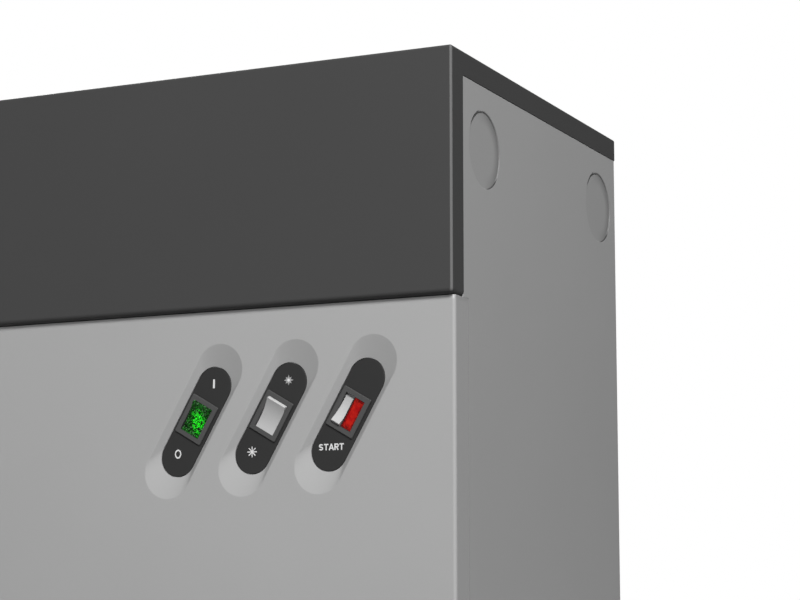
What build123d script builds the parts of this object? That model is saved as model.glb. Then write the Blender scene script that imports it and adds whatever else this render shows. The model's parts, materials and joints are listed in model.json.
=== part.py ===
from build123d import *
import math
import os

os.makedirs("parts", exist_ok=True)

# Cabinet: +Z is up, the front faces -Y, and the origin is under the middle of the whole box
cabinet_width = 600.0
cabinet_depth = 350.0
cabinet_height = 1000.0
sheet = 1.2
side_inset = 0.4
flange_width = 25.0
corner_bend = 1.0
cut_past = 1.0

# Top hood
hood_band_height = 184.5
hood_strip_width = 20.8
hood_lip_height = 18.65
hood_edge_radius = 2.0
hood_foot_radius = 3.6
hood_gap = 0.3
hood_sheet = 1.2
joggle_margin = 2.6
joggle_overlap = 12.0

# Front panel, pressed as a shallow pan
panel_setback = 6.0
panel_return = 23.0
panel_lip = 12.0
panel_gap = 1.0
panel_lift = 10.0
panel_corner_radius = 2.5
seam_gap = 0.6

# Side panel knock-outs, half sheared and still closed
knockout_radius = 30.0
knockout_drop = 67.4
knockout_inset = 41.4
knockout_depth = 1.0
knockout_web = 0.3
knockout_groove_width = 0.9
knockout_groove_depth = 0.5

# Base tray and feet
tray_sheet = 1.5
tray_wall = 40.0
foot_height = 20.0
foot_radius = 24.0
foot_top_radius = 20.0
foot_spigot_radius = 5.0
foot_spigot_clearance = 0.2
foot_spigot_reach = 3.0
foot_inset = 25.0
side_panel_lift = 2.0
rest_gap = 0.3
shelf_sheet = 1.5

# Switch recesses in the front panel, each leaning with its top to the right
switch_count = 3
switch_pitch = 64.5
switch_edge_distance = 88.9
switch_drop = 268.3
switch_lean = 30.0
recess_length = 128.0
recess_width = 40.0
recess_depth = 4.5
recess_edge_radius = 2.0
recess_rim = 1.5
window_clearance = 0.4

# Switch plates and the console that carries them
plate_length = 90.6
plate_width = 29.4
plate_thickness = 2.0
plate_edge_radius = 0.5
console_sheet = 1.5
console_margin = 24.0
console_return = 12.0
console_side_clearance = 1.0
console_reach = 52.5

# Rocker switches
bezel_width = 25.0
bezel_length = 32.0
bezel_height = 1.5
bezel_corner_radius = 1.0
bezel_shift = -0.3
bezel_rise = 2.0
switch_body_width = 21.8
switch_body_length = 29.8
switch_body_depth = 22.0
switch_cut_clearance = 0.2
rocker_width = 17.2
rocker_length = 24.2
rocker_stand = 1.7
rocker_sag = 1.9
rocker_tilt = 10.0
rocker_gap = 0.15
rocker_depth = 9.0
rocker_lip_radius = 0.4
bezel_chamfer = 0.4
pivot_depth = 4.0
axle_radius = 1.5
axle_reach = 1.2
axle_clearance = 0.05
start_rocker_width = 7.6
lens_gap = 0.1
partition = 0.5
lens_depth = 9.0
lens_stand = 0.9
tab_width = 6.3
tab_thickness = 0.8
tab_length = 8.0
tab_spacing = 10.0

# Electrics tray behind the front panel
etray_height = 240.0
etray_depth = 100.0
etray_bottom = 560.0
etray_side_gap = 3.0
etray_lip = 18.0
cover_thickness = 2.0
cover_margin = 2.0
cover_corner_radius = 6.0
post_radius = 4.0
post_length = 12.0
rail_height = 35.0
rail_depth = 7.5
rail_core = 25.0
rail_sheet = 1.0
rail_end_margin = 14.0
rail_rise = 62.0
contactor_width = 45.0
contactor_height = 74.0
contactor_depth = 72.0
contactor_margin = 12.0
contactor_step = 14.0
armature_width = 14.0
armature_height = 22.0
armature_length = 24.0
armature_stand = 2.0
armature_travel = 3.0
armature_gap = 0.2
armature_edge_radius = 0.6
terminal_pitch = 8.0
terminal_count = 12
terminal_height = 50.0
terminal_depth = 40.0
terminal_margin = 12.0
terminal_throat = 2.9
terminal_groove = 0.8
wire_entry_setback = 6.0
wire_entry_height = 9.0
wire_entry_depth = 9.0
board_width = 170.0
board_height = 96.0
board_thickness = 1.6
board_side_margin = 16.0
board_top_margin = 16.0
board_post_inset = 6.0
relay_count = 4
relay_width = 16.0
relay_height = 20.0
relay_depth = 15.0
relay_pitch = 20.0
relay_margin = 8.0
relay_rise = 12.0
plug_count = 8
plug_width = 12.0
plug_height = 9.0
plug_depth = 9.0
plug_pitch = 17.0
plug_margin = 12.0
plug_drop = 4.0
transformer_width = 40.0
transformer_height = 34.0
transformer_depth = 28.0
transformer_margin = 22.0
transformer_rise = 10.0
smoothing_count = 3
smoothing_radius = 7.0
smoothing_height = 22.0
smoothing_pitch = 22.0
smoothing_margin = 23.0
smoothing_drop = 32.0
capacitor_radius = 22.5
capacitor_height = 92.0
capacitor_margin = 6.0
capacitor_rim = 2.5
capacitor_tab_offset = 9.0
capacitor_tab_reach = 7.0

# Compressor and its suction accumulator
compressor_radius = 80.0
compressor_wall = 4.0
compressor_height = 326.0
compressor_dome = 34.0
compressor_side_gap = 23.4
compressor_rear_gap = 30.0
mount_plate_half = 84.0
mount_plate_thickness = 4.0
mount_hole_radius = 9.0
mount_hole_offset = 66.0
mount_plate_corner = 21.0
grommet_height = 18.0
grommet_radius = 15.0
grommet_clearance = 0.1
grommet_cap = 5.0
grommet_cap_radius = 13.0
grommet_edge_radius = 2.0
bearing_thickness = 16.0
bearing_clearance = 0.05
spider_holes = 4
spider_hole_radius = 12.0
spider_ring = 45.0
shaft_radius = 10.0
lower_bearing_rise = 62.0
upper_bearing_rise = 262.0
stator_rise = 120.0
stator_length = 100.0
stator_bore = 41.0
stator_clearance = 0.05
winding_reach = 14.0
winding_inset = 10.0
winding_bore_margin = 4.0
air_gap = 0.8
counterweight_height = 12.0
counterweight_inset = 6.0
shaft_tail = 18.0
eccentric_radius = 15.0
eccentric_offset = 4.0
eccentric_height = 20.0
eccentric_gap = 4.0
stub_length = 12.0
stub_sink = 2.0
accumulator_radius = 38.0
accumulator_height = 200.0
accumulator_gap = 12.0
accumulator_rise = 88.0
accumulator_dome = 16.0
suction_port_rise = 48.0
cap_width = 58.0
cap_height = 72.0
cap_depth = 30.0
cap_rise = 190.0
cap_stand = 18.0
cap_edge_radius = 4.0
cap_seat_gap = 0.3

# Refrigerant pipes
gas_pipe_radius = 8.0
liquid_pipe_radius = 5.0
copper_wall = 1.0
gas_bend = 16.0
straight_end = 3.0
discharge_rise = 23.0
suction_drop = 30.0
liquid_bend = 14.0
socket_step = 2.0

# Brazed plate heat exchangers
exchanger_width = 104.0
exchanger_height = 430.0
exchanger_corner = 15.0
exchanger_rear_gap = 25.0
end_plate = 3.0
stack_plates = 20
stack_pitch = 4.2
stack_inset = 1.6
port_half_pitch = 32.0
port_inset = 32.0
port_stub = 14.0
port_stub_wall = 3.5
port_bore_depth = 12.0

# Circulation pumps
pump_spacing = 120.0
pump_side_gap = 13.0
pump_setback = 95.0
pump_level = 300.0
volute_radius = 45.0
volute_thickness = 44.0
volute_face = 4.0
volute_back = 8.0
volute_edge_radius = 5.0
pump_port_reach = 90.0
pump_neck_radius = 18.0
pump_port_overlap = 8.0
union_across = 44.0
union_height = 22.0
union_margin = 2.0
motor_radius = 43.0
motor_length = 84.0
motor_fins = 20
fin_depth = 3.0
fin_width = 3.2
fin_margin = 8.0
bare_angle = 50.0
motor_edge_radius = 5.0
motor_box_width = 50.0
motor_box_height = 24.0
motor_box_length = 46.0
motor_box_sink = 13.0
motor_box_radius = 3.0
pump_shaft_radius = 4.0
can_radius = 20.0
can_length = 50.0
can_clearance = 1.2
motor_cap = 7.0
motor_front_wall = 2.0
shaft_end_gap = 0.5
can_setback = 6.0
impeller_radius = 30.0
impeller_plate = 3.0
impeller_vane_height = 8.0
impeller_vane = 2.0
impeller_vanes = 6
vane_inner_radius = 10.5
vane_outer_radius = 29.4
impeller_clearance = 3.0

# Water pipes and their rear connections
water_pipe_radius = 14.0
water_pipe_wall = 1.5
water_bend = 30.0
riser_setback = 34.0
flow_level = 500.0
return_level = 570.0
connection_reach = 20.0
connection_radius = 16.6
connection_inside = 30.0
connection_hole_clearance = 0.9
thread_relief_depth = 0.8
thread_relief_start = 4.0
thread_relief_length = 2.0

# Reversing valve
reversing_from_compressor = 70.0
reversing_from_exchanger = 40.0
reversing_rise = 60.0
reversing_radius = 16.0
reversing_length = 134.0
reversing_bore = 13.0
reversing_end = 8.0
reversing_end_step = 1.5
reversing_port_pitch = 30.0
slide_length = 80.0
slide_piston = 10.0
slide_clearance = 0.08
slide_rod_radius = 4.0
shoe_margin = 2.0
shoe_half_width = 7.0
shoe_drop = 9.0
coil_radius = 17.0
coil_length = 34.0
coil_inset = 4.0
coil_edge_radius = 2.0
pilot_radius = 7.0
pilot_length = 84.0
pilot_gap = 10.0
saddle_width = 16.0
saddle_shift = 30.0
saddle_half_height = 8.0
saddle_clearance = 0.2

# Expansion valve and filter drier
drier_radius = 25.0
drier_body = 90.0
drier_cone = 14.0
drier_neck = 11.0
expansion_from_exchanger = 36.0
expansion_setback = 125.0
expansion_level = 365.0
expansion_block = 26.0
expansion_head_radius = 22.0
expansion_head_height = 12.0
expansion_stem = 14.0
expansion_stem_radius = 9.0
expansion_chamfer = 3.0
needle_radius = 2.5
needle_clearance = 0.06
needle_length = 30.0
needle_tip = 3.0
needle_point = 1.5
needle_chamber = 5.0

# Leads from the electrics tray to the motors and the switches
lead_radius = 3.5
lead_bend = 16.0
lead_setback = 30.0
compressor_lead_inset = 30.0
pump_lead_inset = 24.0
lead_pitch = 12.0
pump_lead_drop = 30.0
switch_lead_setback = 50.0

# Rear panel fittings
gland_hole_radius = 10.2
gland_clearance = 0.2
gland_across = 26.0
gland_reach = 13.0
gland_nut = 6.0
gland_bore = 6.5
gland_dome_inset = 1.5
gland_dome_radius = 2.0
gland_count = 2
gland_pitch = 44.0
gland_level = 700.0
gland_inset = 100.0
vent_count = 9
vent_pitch = 14.0
vent_length = 90.0
vent_height = 5.0
vent_level = 150.0
screw_rows = 5
screw_end_margin = 30.0
screw_radius = 1.95
screw_hole_radius = 2.2
screw_pilot_radius = 2.0
screw_length = 8.0
screw_head_radius = 4.5
screw_head_height = 2.6
screw_slot = 0.9
screw_slot_half = 2.7

# Planes that several pieces share
half_width = cabinet_width / 2
front_y = -(cabinet_depth + connection_reach) / 2
rear_y = front_y + cabinet_depth
skin_x = half_width - side_inset
wall_x = skin_x - sheet
hood_underside = cabinet_height - hood_band_height
hood_lip_z = cabinet_height - hood_lip_height
face_y = front_y + panel_setback
flange_y = face_y + panel_return + seam_gap
panel_top = hood_underside - panel_gap
panel_bottom = foot_height + panel_lift
side_bottom = foot_height + side_panel_lift
side_top = hood_lip_z - hood_gap
frame_front_y = flange_y + sheet
frame_rear_y = rear_y - 2 * sheet
floor_z = foot_height + tray_sheet
plate_y = face_y + recess_depth
console_y = plate_y + plate_thickness
power_switch_x = half_width - switch_edge_distance - (switch_count - 1) * switch_pitch
etray_left = -(wall_x - flange_width - etray_side_gap)
etray_right = power_switch_x - console_reach
etray_top = etray_bottom + etray_height
etray_back_y = frame_front_y + etray_depth
rail_z = etray_bottom + rail_rise
rail_y = etray_back_y - sheet - rail_depth
compressor_x = -wall_x + compressor_side_gap + compressor_radius
compressor_y = frame_rear_y - compressor_rear_gap - compressor_radius
mount_plate_z = floor_z + grommet_height
shell_z = mount_plate_z + mount_plate_thickness
shell_top = shell_z + compressor_height
source_x = wall_x - pump_side_gap - volute_radius
load_x = source_x - pump_spacing
stack_depth = stack_plates * stack_pitch + 2 * end_plate
exchanger_rear_y = frame_rear_y - exchanger_rear_gap
exchanger_front_y = exchanger_rear_y - stack_depth
stub_y = exchanger_front_y - port_stub
top_port_z = floor_z + exchanger_height - port_inset
bottom_port_z = floor_z + port_inset
load_gas_x = load_x - 2 * port_half_pitch
source_gas_x = source_x - 2 * port_half_pitch
pump_y = exchanger_front_y - pump_setback
pump_back = pump_y - volute_thickness / 2
motor_front = pump_back - motor_length
riser_y = stub_y - riser_setback
reversing_x = compressor_x + reversing_from_compressor
reversing_y = exchanger_front_y - reversing_from_exchanger
reversing_z = top_port_z + reversing_rise
reversing_low = reversing_z - reversing_radius - stub_length
reversing_high = reversing_z + reversing_radius + stub_length
slide_left = reversing_x - (slide_length + reversing_port_pitch) / 2
accumulator_x = compressor_x + compressor_radius + accumulator_gap + accumulator_radius
accumulator_z = shell_z + accumulator_rise
accumulator_top = accumulator_z + accumulator_height
accumulator_port_z = accumulator_top + stub_length - stub_sink
expansion_x = load_gas_x - expansion_from_exchanger
expansion_y = exchanger_front_y - expansion_setback
expansion_low = expansion_level - expansion_block / 2
drier_low = expansion_low - drier_body - 2 * (drier_cone + drier_neck)


def save(name, shapes):
    """Writes one node: a single shape, or a list of separate solids."""
    if isinstance(shapes, list):
        shapes = Compound(children=[solid for shape in shapes for solid in shape.solids()])
    export_step(shapes, "parts/" + name + ".step")


def block(x, y, z):
    """A box between a pair of limits on each axis."""
    middle = Pos((x[0] + x[1]) / 2, (y[0] + y[1]) / 2, (z[0] + z[1]) / 2)
    return middle * Box(x[1] - x[0], y[1] - y[0], z[1] - z[0])


def upright(x, y, z, radius, height):
    """A cylinder standing on the level z."""
    return Pos(x, y, z) * Cylinder(radius, height, align=(Align.CENTER, Align.CENTER, Align.MIN))


def along_y(x, y, z, radius, length):
    """A cylinder that runs backwards from y."""
    turned = Location((x, y, z), (-90, 0, 0))
    return turned * Cylinder(radius, length, align=(Align.CENTER, Align.CENTER, Align.MIN))


def along_x(x, y, z, radius, length):
    """A cylinder that runs to the right from x."""
    turned = Location((x, y, z), (0, 90, 0))
    return turned * Cylinder(radius, length, align=(Align.CENTER, Align.CENTER, Align.MIN))


def hexagon_y(x, y, z, across, length):
    """A hexagonal nut whose axis runs backwards from y."""
    section = RegularPolygon(across / 2, 6, major_radius=False)
    return Location((x, y, z), (-90, 0, 0)) * extrude(section, length)


def hexagon_z(x, y, z, across, height):
    """A hexagonal nut standing on the level z."""
    return Pos(x, y, z) * extrude(RegularPolygon(across / 2, 6, major_radius=False), height)


def pipe(points, radius, wall, bend):
    """A hollow pipe of straight runs joined by tangent bends."""
    path = FilletPolyline(*points, radius=bend)
    start = Plane(origin=path @ 0, z_dir=path % 0)
    return sweep(start * (Circle(radius) - Circle(radius - wall)), path)


def switch_place(index):
    """The frame of one switch: X across, Y up along the recess, Z out of the plate's face."""
    lean = math.radians(switch_lean)
    across = (math.cos(lean), 0, -math.sin(lean))
    origin = (power_switch_x + index * switch_pitch, plate_y, cabinet_height - switch_drop)
    return Plane(origin=origin, x_dir=across, z_dir=(0, -1, 0)).location


def stadium(length, width, level):
    """A flat stadium outline that stands along the recess, at a level above the plate's face."""
    return Pos(0, 0, level) * SlotOverall(length, width, rotation=90)


def mirrored(shape):
    """The same piece for the other side of the cabinet."""
    return mirror(shape, about=Plane.YZ)


def screw_levels():
    """The heights of the rear panel's screws."""
    low = foot_height + tray_wall + screw_end_margin
    high = side_top - screw_end_margin
    return [low + (high - low) * row / (screw_rows - 1) for row in range(screw_rows)]


def foot_places():
    """The four feet, near the tray's corners."""
    across = wall_x - foot_inset
    levels = (frame_front_y + foot_inset, frame_rear_y - foot_inset)
    return [(x, y) for x in (-across, across) for y in levels]


def make_base_tray():
    outer = block((-wall_x, wall_x), (frame_front_y, frame_rear_y), (foot_height, foot_height + tray_wall))
    inner = block(
        (-wall_x + tray_sheet, wall_x - tray_sheet),
        (frame_front_y + tray_sheet, frame_rear_y - tray_sheet),
        (floor_z, foot_height + tray_wall + cut_past),
    )
    shelf_half = wall_x - flange_width - seam_gap
    shelf_top = panel_bottom - rest_gap
    shelf = block(
        (-shelf_half, shelf_half),
        (face_y + panel_corner_radius, frame_front_y + tray_sheet),
        (shelf_top - shelf_sheet, shelf_top),
    )
    tray = outer - inner + shelf
    for x, y in foot_places():
        hole_radius = foot_spigot_radius + foot_spigot_clearance
        tray -= upright(x, y, foot_height - cut_past, hole_radius, tray_sheet + 2 * cut_past)
    save("base_tray", tray)


def make_feet():
    feet = []
    for x, y in foot_places():
        pad = Pos(x, y, 0) * Cone(
            foot_radius, foot_top_radius, foot_height, align=(Align.CENTER, Align.CENTER, Align.MIN)
        )
        spigot_length = foot_height + tray_sheet + foot_spigot_reach
        feet.append(pad + upright(x, y, 0, foot_spigot_radius, spigot_length))
    save("rubber_feet", feet)


def knockout_places():
    """The centres of the side panel's knock-outs, as (y, z)."""
    front_edge = front_y + hood_strip_width
    level = cabinet_height - knockout_drop
    return [(front_edge + knockout_inset, level), (rear_y - knockout_inset, level)]


def right_side():
    """The right side panel: skin, tongue beside the hood, tucked-in edges and two flanges."""
    skin = block((wall_x, skin_x), (flange_y, rear_y), (side_bottom, side_top))
    corner = skin.edges().filter_by(Axis.Z).filter_by(lambda edge: edge.center().X > wall_x + sheet / 2)
    skin = fillet(corner, corner_bend)
    tongue_y = (front_y + hood_strip_width + hood_gap, flange_y + sheet)
    tongue = block((wall_x, skin_x), tongue_y, (panel_top + seam_gap, side_top))
    tuck_x = (wall_x - sheet, wall_x)
    tuck_top = cabinet_height - hood_sheet
    tuck_front = front_y + joggle_margin
    top_tuck = block(tuck_x, (tuck_front, rear_y - joggle_margin), (side_top - joggle_overlap, tuck_top))
    front_tuck_z = (hood_underside + joggle_margin, tuck_top)
    front_tuck = block(tuck_x, (tuck_front, flange_y + joggle_overlap), front_tuck_z)
    flange_x = (wall_x - flange_width, wall_x)
    front_flange = block(flange_x, (flange_y, frame_front_y), (side_bottom, tuck_top))
    rear_flange = block(flange_x, (frame_rear_y, rear_y - sheet), (side_bottom, side_top))
    panel = skin + tongue + top_tuck + front_tuck + front_flange + rear_flange
    for y, z in knockout_places():
        panel -= along_x(skin_x - knockout_depth, y, z, knockout_radius, knockout_depth + cut_past)
        panel += along_x(skin_x - knockout_depth - sheet, y, z, knockout_radius + knockout_web, sheet)
        groove_x = skin_x - knockout_depth - knockout_groove_depth
        groove = along_x(groove_x, y, z, knockout_radius, sheet)
        panel -= groove - along_x(groove_x, y, z, knockout_radius - knockout_groove_width, sheet)
    for z in screw_levels():
        hole_y = frame_rear_y - cut_past
        panel -= along_y(wall_x - flange_width / 2, hole_y, z, screw_pilot_radius, sheet + 2 * cut_past)
    return panel


def make_side_panels():
    panel = right_side()
    save("right_side_panel", panel)
    save("left_side_panel", mirrored(panel))


def gland_places():
    return [-half_width + gland_inset + index * gland_pitch for index in range(gland_count)]


def make_rear_panel():
    edge = wall_x - hood_gap
    panel = block((-edge, edge), (rear_y - sheet, rear_y), (side_bottom, side_top))
    hole_radius = connection_radius + connection_hole_clearance
    for x in (load_x, source_x):
        for z in (flow_level, return_level):
            panel -= along_y(x, rear_y - 2 * sheet, z, hole_radius, 4 * sheet)
    for x in gland_places():
        panel -= along_y(x, rear_y - 2 * sheet, gland_level, gland_hole_radius, 4 * sheet)
    for row in range(vent_count):
        slot = extrude(SlotOverall(vent_length, vent_height), 4 * sheet)
        level = vent_level + row * vent_pitch
        panel -= Location((compressor_x, rear_y + 2 * sheet, level), (90, 0, 0)) * slot
    for z in screw_levels():
        for x in (-wall_x + flange_width / 2, wall_x - flange_width / 2):
            panel -= along_y(x, rear_y - 2 * sheet, z, screw_hole_radius, 4 * sheet)
    save("rear_panel", panel)


def make_panel_screws():
    screws = []
    for z in screw_levels():
        for x in (-wall_x + flange_width / 2, wall_x - flange_width / 2):
            head = along_y(x, rear_y, z, screw_head_radius, screw_head_height)
            rim = head.edges().filter_by(GeomType.CIRCLE).sort_by(Axis.Y)[-1]
            head = fillet(rim, screw_head_height / 2)
            shank = along_y(x, rear_y - screw_length, z, screw_radius, screw_length)
            slot_y = (rear_y + screw_head_height / 2, rear_y + screw_head_height + cut_past)
            long_half = screw_slot_half
            thin_half = screw_slot / 2
            head -= block((x - long_half, x + long_half), slot_y, (z - thin_half, z + thin_half))
            head -= block((x - thin_half, x + thin_half), slot_y, (z - long_half, z + long_half))
            screws.append(head + shank)
    save("panel_screws", screws)


def make_top_hood():
    cap = block((-half_width, half_width), (front_y, rear_y), (hood_lip_z, cabinet_height))
    band_y = (front_y, front_y + hood_strip_width)
    band = block((-half_width, half_width), band_y, (hood_underside, cabinet_height))
    outer = cap + band
    outer = fillet(outer.edges().group_by(Axis.Z)[0], hood_foot_radius)
    top_edges = outer.edges().group_by(Axis.Z)[-1]
    front_corners = outer.edges().filter_by(Axis.Z).group_by(Axis.Y)[0]
    outer = fillet(top_edges + front_corners, hood_edge_radius)
    inner = block(
        (-half_width + hood_sheet, half_width - hood_sheet),
        (front_y + hood_sheet, rear_y - hood_sheet),
        (hood_underside + hood_sheet, cabinet_height - hood_sheet),
    )
    inner = fillet(inner.edges().group_by(Axis.Z)[0], hood_foot_radius - hood_sheet)
    save("top_hood", outer - inner)


def recess_form(rim, drop):
    """The slanting walls of one recess, from its outline in the panel's face to its window."""
    window_length = plate_length + 2 * window_clearance
    window_width = plate_width + 2 * window_clearance
    outline = stadium(recess_length + 2 * rim, recess_width + 2 * rim, recess_depth - drop)
    window = stadium(window_length + 2 * rim, window_width + 2 * rim, -drop)
    return loft([outline.face(), window.face()])


def make_front_panel():
    pan = block((-skin_x, skin_x), (face_y, face_y + panel_return), (panel_bottom, panel_top))
    corners = pan.edges().group_by(Axis.Y)[0] + pan.edges().filter_by(Axis.Y)
    pan = fillet(corners, panel_corner_radius)
    pan -= block(
        (-skin_x + sheet, skin_x - sheet),
        (face_y + sheet, face_y + panel_return + cut_past),
        (panel_bottom + sheet, panel_top - sheet),
    )
    pan -= block(
        (-skin_x + sheet, skin_x - sheet),
        (face_y + panel_lip, face_y + panel_return + cut_past),
        (panel_bottom - cut_past, panel_top + cut_past),
    )
    window_depth = recess_depth + 3 * sheet
    for index in range(switch_count):
        place = switch_place(index)
        pan += place * recess_form(recess_rim, sheet)
    for index in range(switch_count):
        place = switch_place(index)
        window = stadium(plate_length + 2 * window_clearance, plate_width + 2 * window_clearance, -2 * sheet)
        pan -= place * (recess_form(0, 0) + extrude(window, window_depth))
    rims = [
        edge
        for edge in pan.edges().group_by(Axis.Y)[0]
        if edge.center().Z > panel_bottom + panel_corner_radius + recess_length
        and edge.center().Z < panel_top - panel_corner_radius - cut_past
        and abs(edge.center().X) < skin_x - panel_corner_radius - cut_past
    ]
    save("front_panel", fillet(rims, recess_edge_radius))


def console_limits():
    """The console's height, which clears the switch plates by a margin."""
    reach = plate_width / 2 + (plate_length - plate_width) / 2 * math.cos(math.radians(switch_lean))
    middle = cabinet_height - switch_drop
    return middle - reach - console_margin, middle + reach + console_margin


def switch_cut_out(depth):
    """The opening that a switch body drops into."""
    width = switch_body_width + 2 * switch_cut_clearance
    length = switch_body_length + 2 * switch_cut_clearance
    return Pos(bezel_shift, bezel_rise, -depth / 2) * Box(width, length, depth)


def make_switch_console():
    low, high = console_limits()
    right = wall_x - console_side_clearance
    left = etray_right
    back = console_y + console_sheet
    face = block((left, right), (console_y, back), (low, high))
    left_return_y = (console_y, frame_front_y + 3 * console_return)
    left_return = block((left, left + console_sheet), left_return_y, (low, high))
    right_return = block((right - console_sheet, right), (console_y, flange_y), (low, high))
    short_return_y = (console_y, console_y + console_return)
    bottom_return = block((left, right), short_return_y, (low, low + console_sheet))
    top_return = block((left, right), short_return_y, (high - console_sheet, high))
    console = face + left_return + right_return + bottom_return + top_return
    for index in range(switch_count):
        console -= switch_place(index) * switch_cut_out(2 * (plate_thickness + console_sheet))
    save("switch_console", console)


def make_switch_plates():
    for index, name in enumerate(("power_plate", "mode_plate", "start_plate")):
        plate = extrude(stadium(plate_length, plate_width, -plate_thickness), plate_thickness)
        plate = fillet(plate.edges().group_by(Axis.Z)[-1], plate_edge_radius)
        plate -= switch_cut_out(3 * plate_thickness)
        save(name, switch_place(index) * plate)


def rocker_radius():
    """The rocker's end faces are round about its pivot, and this is their radius."""
    return math.hypot(rocker_length / 2, rocker_stand + pivot_depth)


def pivot_place():
    """The pivot in the switch's own frame, with the axle along X."""
    return Pos(bezel_shift, bezel_rise, -pivot_depth)


def drum(x, radius):
    """A cylinder about the rocker's axle between two limits across the switch."""
    return along_x(x[0], 0, 0, radius, x[1] - x[0])


def switch_shell():
    """A bezel on a box, before its cavity is cut."""
    bezel = extrude(RectangleRounded(bezel_width, bezel_length, bezel_corner_radius), bezel_height)
    bezel = chamfer(bezel.edges().group_by(Axis.Z)[-1], bezel_chamfer)
    box = Pos(0, 0, -switch_body_depth / 2) * Box(switch_body_width, switch_body_length, switch_body_depth)
    return Pos(bezel_shift, bezel_rise, 0) * (bezel + box)


def axle_bores(x):
    """Blind bores for the rocker's axle, just past each side of its cavity."""
    reach = axle_reach + rocker_gap
    return drum((x[0] - reach, x[1] + reach), axle_radius + axle_clearance)


def start_cavity():
    """The left part of the start switch, where its narrow rocker turns."""
    left = -rocker_width / 2
    return left - rocker_gap, left + start_rocker_width + rocker_gap


def lens_limits():
    """The lens fills the rest of the start switch's opening."""
    return start_cavity()[1] + partition + lens_gap, rocker_width / 2


def make_switch_bodies():
    half = rocker_width / 2 + rocker_gap
    radius = rocker_radius() + rocker_gap
    for index, name in enumerate(("power_switch_body", "mode_switch_body")):
        cavity = drum((-half, half), radius) + axle_bores((-half, half))
        save(name, switch_place(index) * (switch_shell() - pivot_place() * cavity))
    left, right = start_cavity()
    cavity = drum((left, right), radius)
    cavity += drum((left - axle_reach - rocker_gap, right + partition), axle_radius + axle_clearance)
    lens_left, lens_right = lens_limits()
    pocket = block(
        (lens_left - lens_gap, lens_right + lens_gap),
        (-rocker_length / 2 - lens_gap, rocker_length / 2 + lens_gap),
        (pivot_depth - lens_depth, pivot_depth + bezel_height + cut_past),
    )
    save("start_switch_body", switch_place(2) * (switch_shell() - pivot_place() * (cavity + pocket)))


def rocker(x, right_reach, tilt):
    """A rocker in its own pivot frame between two limits across, turned to one side."""
    radius = rocker_radius()
    paddle = drum(x, radius) & block((x[0], x[1]), (-radius, radius), (-rocker_depth, radius))
    dish = ((rocker_length / 2) ** 2 + rocker_sag ** 2) / (2 * rocker_sag)
    dish_middle = pivot_depth + rocker_stand - rocker_sag + dish
    paddle -= Pos(0, 0, dish_middle) * drum((x[0] - cut_past, x[1] + cut_past), dish)
    lips = paddle.edges().filter_by(Axis.X).filter_by(lambda edge: edge.center().Z > pivot_depth)
    paddle = fillet(lips, rocker_lip_radius)
    axle = drum((x[0] - axle_reach, x[1] + right_reach), axle_radius)
    return Rot(tilt, 0, 0) * (paddle + axle)


def make_rockers():
    half = rocker_width / 2
    for index, name in enumerate(("power_rocker", "mode_rocker")):
        piece = rocker((-half, half), axle_reach, rocker_tilt)
        save(name, switch_place(index) * pivot_place() * piece)
    piece = rocker((-half, -half + start_rocker_width), partition, -rocker_tilt)
    save("start_rocker", switch_place(2) * pivot_place() * piece)


def make_start_lens():
    left, right = lens_limits()
    lens = block(
        (left, right),
        (-rocker_length / 2, rocker_length / 2),
        (pivot_depth - lens_depth, pivot_depth + lens_stand),
    )
    lens = fillet(lens.edges().group_by(Axis.Z)[-1], rocker_lip_radius)
    save("start_lamp_lens", switch_place(2) * pivot_place() * lens)


def make_switch_tabs():
    tabs = []
    for index in range(switch_count):
        for across in (-1, 1):
            for along in (-1, 1):
                tab = Box(tab_width, tab_thickness, tab_length)
                x = bezel_shift + across * tab_spacing / 2
                y = bezel_rise + along * tab_spacing
                tabs.append(switch_place(index) * Pos(x, y, -switch_body_depth - tab_length / 2) * tab)
    save("switch_tabs", tabs)


def board_limits():
    left = etray_left + board_side_margin
    high = etray_top - board_top_margin
    return left, left + board_width, high - board_height, high


def make_electrics_tray():
    outer = block((etray_left, etray_right), (frame_front_y, etray_back_y), (etray_bottom, etray_top))
    inner = block(
        (etray_left + sheet, etray_right - sheet),
        (frame_front_y - cut_past, etray_back_y - sheet),
        (etray_bottom + sheet, etray_top - sheet),
    )
    lip_x = (etray_left - etray_lip, etray_left + sheet)
    lip = block(lip_x, (frame_front_y, frame_front_y + sheet), (etray_bottom, etray_top))
    tray = outer - inner + lip
    left, right, low, high = board_limits()
    back = etray_back_y - sheet
    for x in (left + board_post_inset, right - board_post_inset):
        for z in (low + board_post_inset, high - board_post_inset):
            tray += along_y(x, back - post_length, z, post_radius, post_length + sheet / 2)
    save("electrics_tray", tray)


def make_electrics_cover():
    cover = block(
        (etray_left + cover_margin, etray_right - cover_margin),
        (frame_front_y - cover_thickness, frame_front_y),
        (etray_bottom + cover_margin, etray_top - cover_margin),
    )
    save("electrics_cover", fillet(cover.edges().filter_by(Axis.Y), cover_corner_radius))


def make_din_rail():
    left = etray_left + sheet + rail_end_margin
    right = etray_right - sheet - rail_end_margin - 2 * capacitor_radius - capacitor_margin
    front = rail_y
    back = rail_y + rail_depth
    wide = rail_height / 2
    narrow = rail_core / 2
    hollow_half = narrow - rail_sheet
    flange = block((left, right), (front, front + rail_sheet), (rail_z - wide, rail_z + wide))
    core = block((left, right), (front, back), (rail_z - narrow, rail_z + narrow))
    hollow_x = (left - cut_past, right + cut_past)
    hollow_y = (front - cut_past, back - rail_sheet)
    hollow = block(hollow_x, hollow_y, (rail_z - hollow_half, rail_z + hollow_half))
    save("din_rail", flange + core - hollow)


def contactor_middle():
    return etray_left + sheet + rail_end_margin + contactor_margin + contactor_width / 2


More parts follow.
